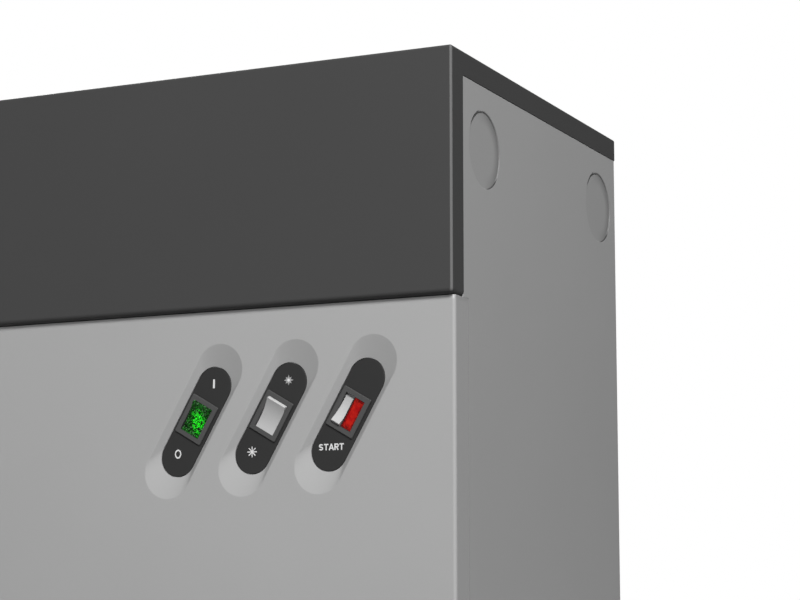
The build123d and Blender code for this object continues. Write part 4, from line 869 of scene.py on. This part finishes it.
class HEATPUMP_OT_finishes(bpy.types.Operator):
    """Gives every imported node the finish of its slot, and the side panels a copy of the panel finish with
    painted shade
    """

    bl_idname = "heatpump.finishes"
    bl_label = "Finishes"

    def execute(self, context):
        build_finishes(context.scene)
        for part in frame["record"]["subparts"]:
            # The side panels take the panel finish with painted shade on their folds and knock-outs.
            side = part["node"].endswith("side_panel")
            slots = frame["nodes"][part["node"]].data.materials
            slots.clear()
            slots.append(finishes["side_paint_with_painted_shade" if side else part["material_slot"]])
        return {"FINISHED"}


class HEATPUMP_OT_marks(bpy.types.Operator):
    """Prints the on, off, sun, snowflake and start marks on the switch plates"""

    bl_idname = "heatpump.marks"
    bl_label = "Switch Marks"

    def execute(self, context):
        settings = context.scene.heat_pump_switches
        self.thick = settings.mark_thickness
        build_ink("mark_ink", settings.mark_color)
        build_ink("faint_ink", tuple(0.48 * c for c in settings.mark_color))
        power = bmesh.new()
        self.stroke(power, upright_spot("power_plate", (-1.2, 32.2)), (0, -3.4), (0, 3.4), 1.6)
        narrow = upright_spot("power_plate", (-1.6, -28.5)) @ Matrix.Diagonal((0.8, 1.0, 1.0, 1.0))
        add_ring(power, narrow, 2.325, 3.475, 0.0, self.thick / MM, 40)
        new_piece("power_marks", power, "mark_ink", "cabinet")
        sun = upright_spot("mode_plate", (-1.2, 31.7))
        rays = bmesh.new()
        self.star(rays, sun, 4.1, 2.0)
        new_piece("sun_rays", rays, "faint_ink", "cabinet")
        mode = bmesh.new()
        self.disc(mode, lifted(sun, self.thick / MM), 1.1)
        self.snowflake(mode, upright_spot("mode_plate", (-1.4, -29.1)), 4.0, 0.75)
        new_piece("mode_marks", mode, "mark_ink", "cabinet")
        word = bmesh.new()
        self.start_word(word, upright_spot("start_plate", (-0.2, -26.9)))
        new_piece("start_mark", word, "mark_ink", "cabinet")
        return {"FINISHED"}

    def stroke(self, bm, place, start, end, width):
        """A straight bar of ink between two points in millimetres."""
        self.thick += 0.002 * MM
        run = Vector((end[0] - start[0], end[1] - start[1], 0)) * MM
        middle = Vector(((start[0] + end[0]) / 2, (start[1] + end[1]) / 2, 0)) * MM
        middle.z = self.thick / 2
        turned = Matrix.Rotation(math.atan2(run.y, run.x), 4, "Z")
        grown = Matrix.Diagonal((run.length, width * MM, self.thick, 1.0))
        bmesh.ops.create_cube(bm, size=1.0, matrix=place @ Matrix.Translation(middle) @ turned @ grown)

    def arc(self, bm, place, center, radius, start, sweep, width, stretch=1.0):
        """A round stroke of ink, from a start angle through a sweep, stretched across."""
        self.thick += 0.002 * MM
        old = set(bm.verts)
        upright = Matrix.Rotation(math.radians(90), 4, "X")
        grown = Matrix.Diagonal((width * MM, 1.0, self.thick, 1.0))
        section = Matrix.Translation((radius * MM, 0, self.thick / 2)) @ grown @ upright
        made = bmesh.ops.create_grid(bm, x_segments=1, y_segments=1, size=0.5, matrix=section)["verts"]
        turned = Matrix.Rotation(math.radians(start), 3, "Z")
        bmesh.ops.rotate(bm, verts=made, cent=(0, 0, 0), matrix=turned)
        seed = made + [face for face in bm.faces if face.verts[0] in made]
        turn = {"cent": (0, 0, 0), "axis": (0, 0, 1), "angle": math.radians(sweep)}
        bmesh.ops.spin(bm, geom=seed, steps=max(8, sweep // 12), use_merge=False, **turn)
        stretched = Matrix.Diagonal((stretch, 1.0, 1.0, 1.0))
        moved = Matrix.Translation((center[0] * MM, center[1] * MM, 0))
        bmesh.ops.transform(bm, verts=newer(bm, old), matrix=place @ moved @ stretched)

    def raised(self, bm, verts):
        """Lifts a flat shape of ink off the plate."""
        flat = [face for face in bm.faces if all(vert in verts for vert in face.verts)]
        grown = bmesh.ops.extrude_face_region(bm, geom=flat)["geom"]
        tops = [vert for vert in grown if isinstance(vert, bmesh.types.BMVert)]
        bmesh.ops.translate(bm, verts=tops, vec=(0, -self.thick, 0))

    def disc(self, bm, place, radius):
        made = bmesh.ops.create_circle(bm, cap_ends=True, segments=24, radius=radius * MM, matrix=place)
        self.raised(bm, made["verts"])

    def star(self, bm, place, reach, waist):
        """A sun with eight pointed rays."""
        made = bmesh.ops.create_circle(bm, cap_ends=True, segments=16, radius=reach * MM)["verts"]
        bmesh.ops.scale(bm, verts=made[1::2], vec=(waist / reach, waist / reach, 1.0))
        bmesh.ops.scale(bm, verts=made[2::4], vec=(0.86, 0.86, 1.0))
        bmesh.ops.transform(bm, verts=made, matrix=place)
        self.raised(bm, made)

    def snowflake(self, bm, place, reach, width):
        for index in range(4):
            angle = math.pi / 4 * index
            tip = (reach * math.cos(angle), reach * math.sin(angle))
            self.stroke(bm, place, (-tip[0], -tip[1]), tip, width)

    def start_word(self, bm, place):
        """The word START in plain bold letters 4.9 mm tall."""
        bold, foot, bar = 0.95, -2.45, 1.93
        for rise, start in ((0.97, 20), (-0.97, 200)):
            self.arc(bm, place, (-8.5, rise), 0.97, start, 250, bold, 1.2)
        for x in (-4.3, 8.5):
            self.stroke(bm, place, (x - 1.85, bar), (x + 1.85, bar), bold)
            self.stroke(bm, place, (x, foot), (x, bar), bold)
        self.stroke(bm, place, (-1.75, foot), (0, 2.3), bold)
        self.stroke(bm, place, (1.75, foot), (0, 2.3), bold)
        self.stroke(bm, place, (-1.1, -0.95), (1.1, -0.95), 0.9)
        self.stroke(bm, place, (3.0, foot), (3.0, -foot), bold)
        self.stroke(bm, place, (3.0, bar), (4.7, bar), bold)
        self.stroke(bm, place, (3.0, -0.05), (4.7, -0.05), bold)
        self.arc(bm, place, (4.7, 0.94), 0.98, -90, 180, bold)
        self.stroke(bm, place, (4.3, 0), (5.7, foot), bold)


class HEATPUMP_OT_knockout_rims(bpy.types.Operator):
    """Rounds the pressed edge of each knock-out in the side panels"""

    bl_idname = "heatpump.knockout_rims"
    bl_label = "Knock-out Rims"

    def execute(self, context):
        bm = bmesh.new()
        rolled = [(KNOCKOUT, 0.0), (29.85, -0.03), (29.6, -0.14), (29.35, -0.34), (29.15, -0.62)]
        foot = [(29.05, -1.0), (29.05, -1.4), (KNOCKOUT, -1.4)]
        for axis, skin in (("X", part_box("right_side_panel")[1].x), ("-X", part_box("left_side_panel")[0].x)):
            for middle in knockout_middles():
                place = spot(skin, middle[1], middle[2], axis)
                add_turned(bm, place, rolled + foot, 96)
        # The rims take the side panels' finish, with its painted shade and shadow.
        new_piece("knockout_rims", bm, "side_paint_with_painted_shade", "cabinet")
        return {"FINISHED"}


class HEATPUMP_OT_panel_lip(bpy.types.Operator):
    """Folds a crisp lip along the front panel's top edge"""

    bl_idname = "heatpump.panel_lip"
    bl_label = "Front Panel Lip"

    def execute(self, context):
        low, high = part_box("front_panel")
        corner, back, bend, depth = 2.5, 22.9, 0.3, 1.2
        top = 0.5 - bend
        section = [(0, -corner), (0, top - 0.1)]
        for step in range(5):
            angle = math.radians(22.5 * step)
            section.append((bend - bend * math.cos(angle), top + bend * math.sin(angle)))
        section += [(depth, top + bend), (depth, -corner)]
        bm = bmesh.new()
        points = [bm.verts.new((low.x + x * MM, low.y + back * MM, high.z + z * MM)) for x, z in section]
        edges = [bm.edges.new(pair) for pair in zip(points, points[1:] + points[:1])]
        side = (0, (corner - back) * MM, 0)
        front = (high.x - low.x - 2 * corner * MM, 0, 0)
        edges = self.straight(bm, edges, side)
        edges = self.bend(bm, edges, (low.x + corner * MM, low.y + corner * MM, 0))
        edges = self.straight(bm, edges, front)
        edges = self.bend(bm, edges, (high.x - corner * MM, low.y + corner * MM, 0))
        self.straight(bm, edges, (0, -side[1], 0))
        bmesh.ops.holes_fill(bm, edges=bm.edges, sides=0)
        new_piece("front_panel_lip", bm, "cabinet_paint", "front_panel")
        return {"FINISHED"}

    def straight(self, bm, edges, way):
        """Draws the section out along a straight run, and gives back its far end."""
        grown = bmesh.ops.extrude_edge_only(bm, edges=edges)["geom"]
        far = {vert for vert in grown if isinstance(vert, bmesh.types.BMVert)}
        bmesh.ops.translate(bm, verts=list(far), vec=way)
        return [edge for edge in grown if isinstance(edge, bmesh.types.BMEdge) and far.issuperset(edge.verts)]

    def bend(self, bm, edges, corner):
        """Turns the section a quarter round a corner, and gives back its far end."""
        turn = {"cent": corner, "axis": (0, 0, 1), "angle": math.pi / 2}
        turned = bmesh.ops.spin(bm, geom=edges, steps=8, use_merge=False, **turn)["geom_last"]
        return [edge for edge in turned if isinstance(edge, bmesh.types.BMEdge)]


class HEATPUMP_OT_connections(bpy.types.Operator):
    """Cuts the threads of the four water connections and seats them in rubber rosettes"""

    bl_idname = "heatpump.connections"
    bl_label = "Water Connections"

    def execute(self, context):
        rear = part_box("rear_panel")[1].y
        below_top, first_turn, pitch, root, crest = 16.6, 7.2, 2.3, 16.5, 17.4
        rosette = [(17.0, 0.0), (24.0, 0.0), (23.0, 1.2), (18.4, 2.6), (17.0, 2.6)]
        threads = bmesh.new()
        seals = bmesh.new()
        for pipe in ("load_flow_pipe", "load_return_pipes", "source_flow_pipe", "source_return_pipes"):
            seat = spot(middle_of(pipe).x, rear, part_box(pipe)[1].z - below_top * MM, "Y")
            for turn in range(5):
                start = first_turn + pitch * turn
                ridge = [(root, start), (crest, start + 0.9), (crest, start + 1.3), (root, start + 2.2)]
                add_turned(threads, seat, ridge, 32)
            add_turned(seals, seat, rosette, 32)
        new_piece("connection_threads", threads, "valve_brass", "cabinet")
        new_piece("connection_rosettes", seals, "rubber", "cabinet")
        return {"FINISHED"}


class HEATPUMP_OT_joints(bpy.types.Operator):
    """Runs a fillet of braze round every joint of the refrigerant and water pipes"""

    bl_idname = "heatpump.joints"
    bl_label = "Brazed Joints"

    def execute(self, context):
        bm = bmesh.new()
        for place, inner, outer in self.seats():
            fillet = [(inner, -0.6), (outer, -0.6), (outer - 0.3, 0.5), (inner + 0.3, 3.4), (inner, 3.6)]
            add_turned(bm, place, fillet)
        new_piece("braze_fillets", bm, "braze", "cabinet")
        return {"FINISHED"}

    def seats(self):
        """Where a pipe leaves a socket: the place, the pipe's radius and the socket's radius."""
        valve = middle_of("reversing_valve")
        valve_low, valve_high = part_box("reversing_valve")
        shell_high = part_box("compressor_shell")[1]
        line_low, line_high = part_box("discharge_line")
        accumulator_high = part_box("suction_accumulator")[1]
        drier = middle_of("filter_drier")
        drier_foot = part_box("filter_drier")[0].z
        feed_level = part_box("feed_line")[1].z - LIQUID_PIPE * MM
        can_x = accumulator_high.x - ACCUMULATOR * MM
        suction_level = 91.5
        gas, liquid = (GAS_PIPE, 10), (LIQUID_PIPE, 7)
        seats = [
            (spot(line_low.x + GAS_PIPE * MM, line_high.y - GAS_PIPE * MM, shell_high.z), *gas),
            (spot(valve.x, valve.y, valve_high.z), *gas),
            (spot(can_x, middle_of("suction_accumulator").y, accumulator_high.z), *gas),
            (spot(drier.x, drier.y, drier_foot, "-Z"), *liquid),
            (spot(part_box("expansion_valve")[1].x, drier.y, feed_level, "X"), *liquid),
            (spot(shell_high.x, middle_of("compressor_shell").y, suction_level * MM, "X"), *gas),
        ]
        for shift in (-30, 0, 30):
            seats.append((spot(valve.x + shift * MM, valve.y, valve_low.z, "-Z"), *gas))
        for name in ("load_exchanger", "source_exchanger"):
            low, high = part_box(name)
            middle = (low.x + high.x) / 2
            inset = 32 * MM
            bottom, top = low.z + inset, high.z - inset
            left, right = middle - inset, middle + inset
            seats.append((spot(left, low.y, bottom, "-Y"), LIQUID_PIPE, 7.3))
            seats.append((spot(left, low.y, top, "-Y"), GAS_PIPE, 10.3))
            for level in (bottom, top):
                seats.append((spot(right, low.y, level, "-Y"), WATER_PIPE, 15.8))
        return seats


class HEATPUMP_OT_compressor_fittings(bpy.types.Operator):
    """Adds the compressor's weld seams, heater belt, holding-down bolts and the accumulator's strap"""

    bl_idname = "heatpump.compressor_fittings"
    bl_label = "Compressor Fittings"

    def execute(self, context):
        x, y, _ = middle_of("compressor_rotor")
        base = spot(x, y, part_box("compressor_shell")[0].z + 4 * MM)
        seams = bmesh.new()
        under, over, crown = SHELL - 0.4, SHELL + 0.7, SHELL + 1.1
        for level in (40, 276):
            bead = [(under, level - 2.2), (over, level - 1.4), (crown, level), (over, level + 1.4)]
            add_turned(seams, base, bead + [(under, level + 2.2)], 72)
        new_piece("shell_seams", seams, "compressor_paint", "cabinet")
        belt = bmesh.new()
        band = [(79.9, 14), (82.6, 14), (83.0, 15), (83.0, 27), (82.6, 28), (79.9, 28)]
        add_turned(belt, base, band, 72)
        new_piece("heater_belt", belt, "rubber", "cabinet")
        steel = bmesh.new()
        buckle = base @ Matrix.Translation((0, -82.4 * MM, 21 * MM)) @ Matrix.Rotation(math.pi / 2, 4, "X")
        add_block(steel, buckle, (20, 9, 3.2), 0.6)
        self.bolts(steel)
        self.strap(steel, x, y)
        new_piece("compressor_hardware", steel, "shaft_steel", "cabinet")
        return {"FINISHED"}

    def bolts(self, bm):
        """A washer and a nut on each of the four grommets."""
        low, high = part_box("compressor_grommets")
        for x in (low.x + 15 * MM, high.x - 15 * MM):
            for y in (low.y + 15 * MM, high.y - 15 * MM):
                seat = spot(x, y, high.z)
                add_ring(bm, seat, 2.0, 9.0, 0.0, 1.6)
                add_hexagon(bm, lifted(seat, 1.6), 13.0, 5.3)

    def strap(self, bm, x, y):
        """The strap round the accumulator, held to the shell by two bars."""
        can_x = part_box("suction_accumulator")[1].x - ACCUMULATOR * MM
        level = middle_of("suction_accumulator").z + 24 * MM
        add_ring(bm, spot(can_x, y, level), 37.9, 39.2, -10, 10, 48)
        gap_left = x + 79 * MM
        gap_right = can_x - 38.4 * MM
        length = (gap_right - gap_left) / MM + 1.5
        start = (gap_left + gap_right) / 2 - length / 2 * MM
        for side in (-9, 9):
            add_block(bm, spot(start, y + side * MM, level, "X"), (20, 2.0, length), 0.4)
        add_screw(bm, spot(can_x, y - 39.1 * MM, level, "-Y"), 4.2, 3.0)


class HEATPUMP_OT_valve_capillaries(bpy.types.Operator):
    """Runs the pilot valve's capillaries and the expansion valve's bulb and its capillary"""

    bl_idname = "heatpump.valve_capillaries"
    bl_label = "Valve Capillaries"

    def execute(self, context):
        bm = bmesh.new()
        thick, thin = 1.3, 1.1
        for points in self.pilot_lines():
            add_tube(bm, points, thick)
        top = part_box("expansion_valve")[1].z / MM
        x, y, _ = middle_of("expansion_needle") / MM
        line_low, line_high = [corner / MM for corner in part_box("suction_line")]
        between = 13.5
        bulb_x, bulb_y = (line_low.x + line_high.x) / 2 + 8, line_high.y - GAS_PIPE
        bulb_z = line_high.z - 30 + between
        feeler = [(x, y, top - 1), (x, y, top + 16), (x - 20, y + 22, top + 30), (x - 50, y + 84, top + 38)]
        feeler += [(bulb_x + 32, bulb_y, top + 36), (bulb_x + 20, bulb_y, bulb_z)]
        add_tube(bm, feeler, thin)
        bulb_start = bulb_x - 22
        bulb = spot(bulb_start * MM, bulb_y * MM, bulb_z * MM, "X")
        add_turned(bm, bulb, [(0, 0), (3.5, 0), (5.5, 2), (5.5, 38), (2.0, 44), (0, 44)])
        new_piece("valve_capillaries", bm, "copper", "cabinet")
        clips = bmesh.new()
        for shift in (8, 30):
            line = spot((bulb_start + shift) * MM, bulb_y * MM, (bulb_z - between) * MM, "X")
            add_ring(clips, lifted(bulb, shift), 5.4, 6.1, 0.0, 5.0)
            add_ring(clips, line, 7.9, 8.7, 0.0, 5.0)
        new_piece("bulb_clips", clips, "shaft_steel", "cabinet")
        return {"FINISHED"}

    def pilot_lines(self):
        """The four capillaries between the pilot coil and the reversing valve, in millimetres."""
        low, high = [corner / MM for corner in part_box("reversing_valve")]
        middle, back, _ = middle_of("reversing_valve") / MM
        x, y, z = middle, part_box("reversing_coil")[0].y / MM + 17, middle_of("reversing_coil").z / MM
        left = [(x - 30, y, z + 5), (x - 30, y, z + 20), (x - 50, y + 4, z + 24), (low.x - 3, y + 12, z + 22)]
        left += [(low.x - 9, back, z + 14), (low.x - 7, back, z), (low.x + 2, back, z)]
        right = [(x - 8, y, z + 5), (x - 8, y, z + 16), (x + 10, y + 8, z + 25), (high.x - 6, y + 14, z + 25)]
        right += [(high.x + 8, back, z + 16), (high.x + 7, back, z), (high.x - 2, back, z)]
        supply = [(x - 19, y, z + 5), (x - 19, y, z + 26)]
        supply += [(x - 16, y + 10, high.z - 4), (x - 8, back, high.z - 4)]
        drain = [(x - 19, y, z - 5), (x - 19, y, z - 22)]
        drain += [(x - 12, y + 12, low.z + 8), (x, back - 8, low.z + 6)]
        return left, right, supply, drain


class HEATPUMP_OT_pump_fittings(bpy.types.Operator):
    """Adds the pumps' bleed screws and bare name discs, and collars at their unions"""

    bl_idname = "heatpump.pump_fittings"
    bl_label = "Pump Fittings"

    def execute(self, context):
        discs = bmesh.new()
        brass = bmesh.new()
        plate = [(9.0, -0.4), (31.0, -0.4), (31.0, 0.3), (30.5, 0.5), (27.5, 0.5), (27.1, 0.3)]
        plate += [(11.4, 0.3), (11.0, 0.5), (9.0, 0.5)]
        collar = [(WATER_PIPE, -1.5), (17.6, -1.5), (17.6, 2.6), (16.8, 3.4), (WATER_PIPE, 3.4)]
        for circuit in ("load", "source"):
            shaft = middle_of(f"{circuit}_pump_rotor")
            front = spot(shaft.x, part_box(f"{circuit}_pump_motor")[0].y, shaft.z, "-Y")
            add_turned(discs, front, plate, 48)
            add_screw(brass, lifted(front, -1.0), 7.5, 1.7, 24)
            low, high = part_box(f"{circuit}_pump_volute")
            pipe_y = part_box(f"{circuit}_return_pipes")[0].y + WATER_PIPE * MM
            for z, axis in ((low.z, "-Z"), (high.z, "Z")):
                add_turned(brass, spot(shaft.x, pipe_y, z, axis), collar, 32)
        new_piece("pump_discs", discs, "disc_aluminium", "cabinet")
        new_piece("pump_brasses", brass, "valve_brass", "cabinet")
        return {"FINISHED"}


class HEATPUMP_OT_board_parts(bpy.types.Operator):
    """Dresses the control board's relays, plugs, transformer, capacitors and chips"""

    bl_idname = "heatpump.board_parts"
    bl_label = "Board Parts"

    def execute(self, context):
        self.relays()
        self.plugs()
        self.transformer()
        self.cans_and_chips()
        return {"FINISHED"}

    def seat(self, x, z):
        """The frame on the board's face at so many millimetres from its lower left corner."""
        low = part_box("control_board")[0]
        tallest = 28
        return spot(low.x + x * MM, low.y + tallest * MM, low.z + z * MM, "-Y")

    def relays(self):
        bm = bmesh.new()
        first, pitch = 16, 20
        for index in range(4):
            add_block(bm, self.seat(first + pitch * index, 22), (16.4, 20.4, 15.2), 0.8)
        new_piece("board_relays", bm, "gland_plastic", "cabinet")

    def plugs(self):
        bm = bmesh.new()
        pins = bmesh.new()
        first, pitch, level = 18, 17, 87.5
        for index in range(8):
            middle = first + pitch * index
            add_block(bm, self.seat(middle, level), (12.4, 9.4, 9.2), 0.5)
            for step in (-3.6, 0, 3.6):
                add_screw(pins, lifted(self.seat(middle + step, level), 8.8), 1.3, 0.9, 8)
        new_piece("board_plugs", bm, "terminal_plastic", "cabinet")
        new_piece("board_plug_screws", pins, "tab_brass", "cabinet")

    def transformer(self):
        """The bobbin, the core's nine layers of sheet and the winding."""
        base = self.seat(128, 27)
        bobbin = bmesh.new()
        add_block(bobbin, base, (40.3, 34.3, 28.2), 0.8)
        new_piece("transformer_bobbin", bobbin, "gland_plastic", "cabinet")
        core = bmesh.new()
        first, pitch = 6.0, 1.8
        for layer in range(9):
            add_block(core, lifted(base, first + pitch * layer), (41.4, 35.4, 1.6), 0.3)
        new_piece("transformer_core", core, "motor_steel", "cabinet")
        tape = bmesh.new()
        add_block(tape, base, (24, 28, 29.2), 2.4)
        new_piece("transformer_winding", tape, "winding_tape", "cabinet")

    def cans_and_chips(self):
        """The capacitors' sleeves and tops, the chips, and the rows of small metal parts."""
        sleeves = bmesh.new()
        tops = bmesh.new()
        sleeve = [(6.9, 0), (7.25, 0), (7.25, 21.6), (6.6, 22.3), (5.2, 22.3), (5.2, 21.9), (6.9, 21.9)]
        first, pitch = 30, 22
        for index in range(3):
            seat = self.seat(first + pitch * index, 64)
            add_turned(sleeves, seat, sleeve)
            add_turned(tops, seat, [(0, 22.15), (5.3, 22.15), (5.3, 21.8), (0, 21.8)])
        chips = ((98, 66, 14, 14), (124, 68, 10, 20), (146, 66, 8, 12), (160, 46, 8, 8), (96, 45, 9, 6))
        for x, z, across, along in chips:
            add_block(sleeves, self.seat(x, z), (across, along, 1.8), 0.3)
        new_piece("board_cans", sleeves, "gland_plastic", "cabinet")
        for x in range(92, 164, 6):
            add_block(tops, self.seat(x, 55), (2.6, 1.4, 0.7), 0.15)
            add_block(tops, self.seat(x - 1, 7), (1.4, 2.6, 0.7), 0.15)
        new_piece("board_metal", tops, "can_aluminium", "cabinet")


class HEATPUMP_OT_electrics_fittings(bpy.types.Operator):
    """Adds terminal screws, marker tags, the capacitor's strap and the leads' boots"""

    bl_idname = "heatpump.electrics_fittings"
    bl_label = "Electrics Fittings"

    def execute(self, context):
        self.screws()
        self.tags()
        self.capacitor()
        self.boots()
        return {"FINISHED"}

    def terminals(self):
        """The middles of the strip's terminals, from left to right."""
        count, pitch = 12, 8
        return [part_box("terminal_strip")[0].x + (index + 0.5) * pitch * MM for index in range(count)]

    def screws(self):
        bm = bmesh.new()
        low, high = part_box("contactor_body")
        middle = middle_of("contactor_body")
        for shift in (-14, 0, 14):
            for z in (low.z + 7 * MM, high.z - 7 * MM):
                add_screw(bm, spot(middle.x + shift * MM, low.y + 14 * MM, z, "-Y"), 3.4, 2.2)
        low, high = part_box("terminal_strip")
        for x in self.terminals():
            for z in (low.z + 8 * MM, high.z - 8 * MM):
                add_screw(bm, spot(x, low.y + 2.9 * MM, z, "-Y"), 2.6)
        new_piece("terminal_screws", bm, "tab_brass", "cabinet")

    def tags(self):
        bm = bmesh.new()
        low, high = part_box("terminal_strip")
        for x in self.terminals():
            add_block(bm, spot(x, low.y, (low.z + high.z) / 2, "-Y"), (5.6, 9.0, 0.8), 0.25)
        low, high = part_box("contactor_body")
        x = middle_of("contactor_body").x
        add_block(bm, spot(x, low.y, high.z - 20 * MM, "-Y"), (30.0, 7.0, 0.5), 0.2)
        new_piece("bare_tags", bm, "tag_white", "cabinet")

    def capacitor(self):
        """The run capacitor's steel strap and the insulator on its top."""
        low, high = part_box("run_capacitor")
        x, y, _ = middle_of("run_capacitor")
        level = low.z + 46 * MM
        strap = bmesh.new()
        add_ring(strap, spot(x, y, level), 22.4, 23.4, -7, 7, 40)
        add_screw(strap, spot(x, y - 23.3 * MM, level, "-Y"), 3.4, 2.6)
        new_piece("capacitor_strap", strap, "shaft_steel", "cabinet")
        cap = bmesh.new()
        rounded = [(0, 1.4), (16.0, 1.4), (17.5, 0.8), (17.5, -0.8), (0, -0.8)]
        add_turned(cap, spot(x, y, high.z - 7 * MM), rounded, 40)
        new_piece("capacitor_insulator", cap, "gland_plastic", "cabinet")

    def boots(self):
        """A rubber boot wherever a lead leaves the tray or goes into a motor."""
        bm = bmesh.new()
        boot = [(3.4, 0), (7.0, 0), (7.0, 2.0), (5.4, 3.0), (4.4, 12.0), (3.4, 12.0)]
        cover = middle_of("terminal_cover")
        add_turned(bm, spot(cover.x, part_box("terminal_cover")[0].y, cover.z, "-Y"), boot)
        for circuit in ("load", "source"):
            x, motor = middle_of(f"{circuit}_pump_rotor").x, f"{circuit}_pump_motor"
            add_turned(bm, spot(x, middle_of(motor).y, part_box(motor)[0].z, "-Z"), boot)
        low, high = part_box("electrics_tray")
        compressor_lead, source_lead, load_lead = -240.4, 5.6, 17.6
        setback = 30
        for x in (compressor_lead, source_lead, load_lead):
            add_turned(bm, spot(x * MM, low.y + setback * MM, low.z, "-Z"), boot)
        short = [(3.4, 0), (5.6, 0), (5.6, 1.6), (4.6, 2.4), (4.2, 8.0), (3.4, 8.0)]
        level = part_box("wiring_leads")[1].z - 3.5 * MM
        first, pitch = 50, 12
        for index in range(3):
            add_turned(bm, spot(high.x, low.y + (first + pitch * index) * MM, level, "X"), short)
        new_piece("lead_boots", bm, "rubber", "cabinet")


class HEATPUMP_PT_panel(bpy.types.Panel):
    """Lists the steps that dress the heat pump"""

    bl_idname = "HEATPUMP_PT_panel"
    bl_label = "Heat Pump"
    bl_space_type = "VIEW_3D"
    bl_region_type = "UI"
    bl_category = "Heat Pump"

    def draw(self, context):
        for step in steps:
            self.layout.operator(step.bl_idname)


steps = [
    HEATPUMP_OT_stage,
    HEATPUMP_OT_finishes,
    HEATPUMP_OT_marks,
    HEATPUMP_OT_knockout_rims,
    HEATPUMP_OT_panel_lip,
    HEATPUMP_OT_connections,
    HEATPUMP_OT_joints,
    HEATPUMP_OT_compressor_fittings,
    HEATPUMP_OT_valve_capillaries,
    HEATPUMP_OT_pump_fittings,
    HEATPUMP_OT_board_parts,
    HEATPUMP_OT_electrics_fittings,
]
settings_classes = [StageSettings, CabinetSettings, SwitchSettings]


def register():
    for item in settings_classes + steps + [HEATPUMP_PT_panel]:
        bpy.utils.register_class(item)
    bpy.types.Scene.heat_pump_stage = bpy.props.PointerProperty(type=StageSettings)
    bpy.types.Scene.heat_pump_cabinet = bpy.props.PointerProperty(type=CabinetSettings)
    bpy.types.Scene.heat_pump_switches = bpy.props.PointerProperty(type=SwitchSettings)


def unregister():
    del bpy.types.Scene.heat_pump_stage
    del bpy.types.Scene.heat_pump_cabinet
    del bpy.types.Scene.heat_pump_switches
    for item in reversed(settings_classes + steps + [HEATPUMP_PT_panel]):
        bpy.utils.unregister_class(item)


def main():
    register()
    bpy.ops.heatpump.stage()
    bpy.ops.heatpump.finishes()
    bpy.ops.heatpump.marks()
    bpy.ops.heatpump.knockout_rims()
    bpy.ops.heatpump.panel_lip()
    bpy.ops.heatpump.connections()
    bpy.ops.heatpump.joints()
    bpy.ops.heatpump.compressor_fittings()
    bpy.ops.heatpump.valve_capillaries()
    bpy.ops.heatpump.pump_fittings()
    bpy.ops.heatpump.board_parts()
    bpy.ops.heatpump.electrics_fittings()


if __name__ == "__main__":
    main()
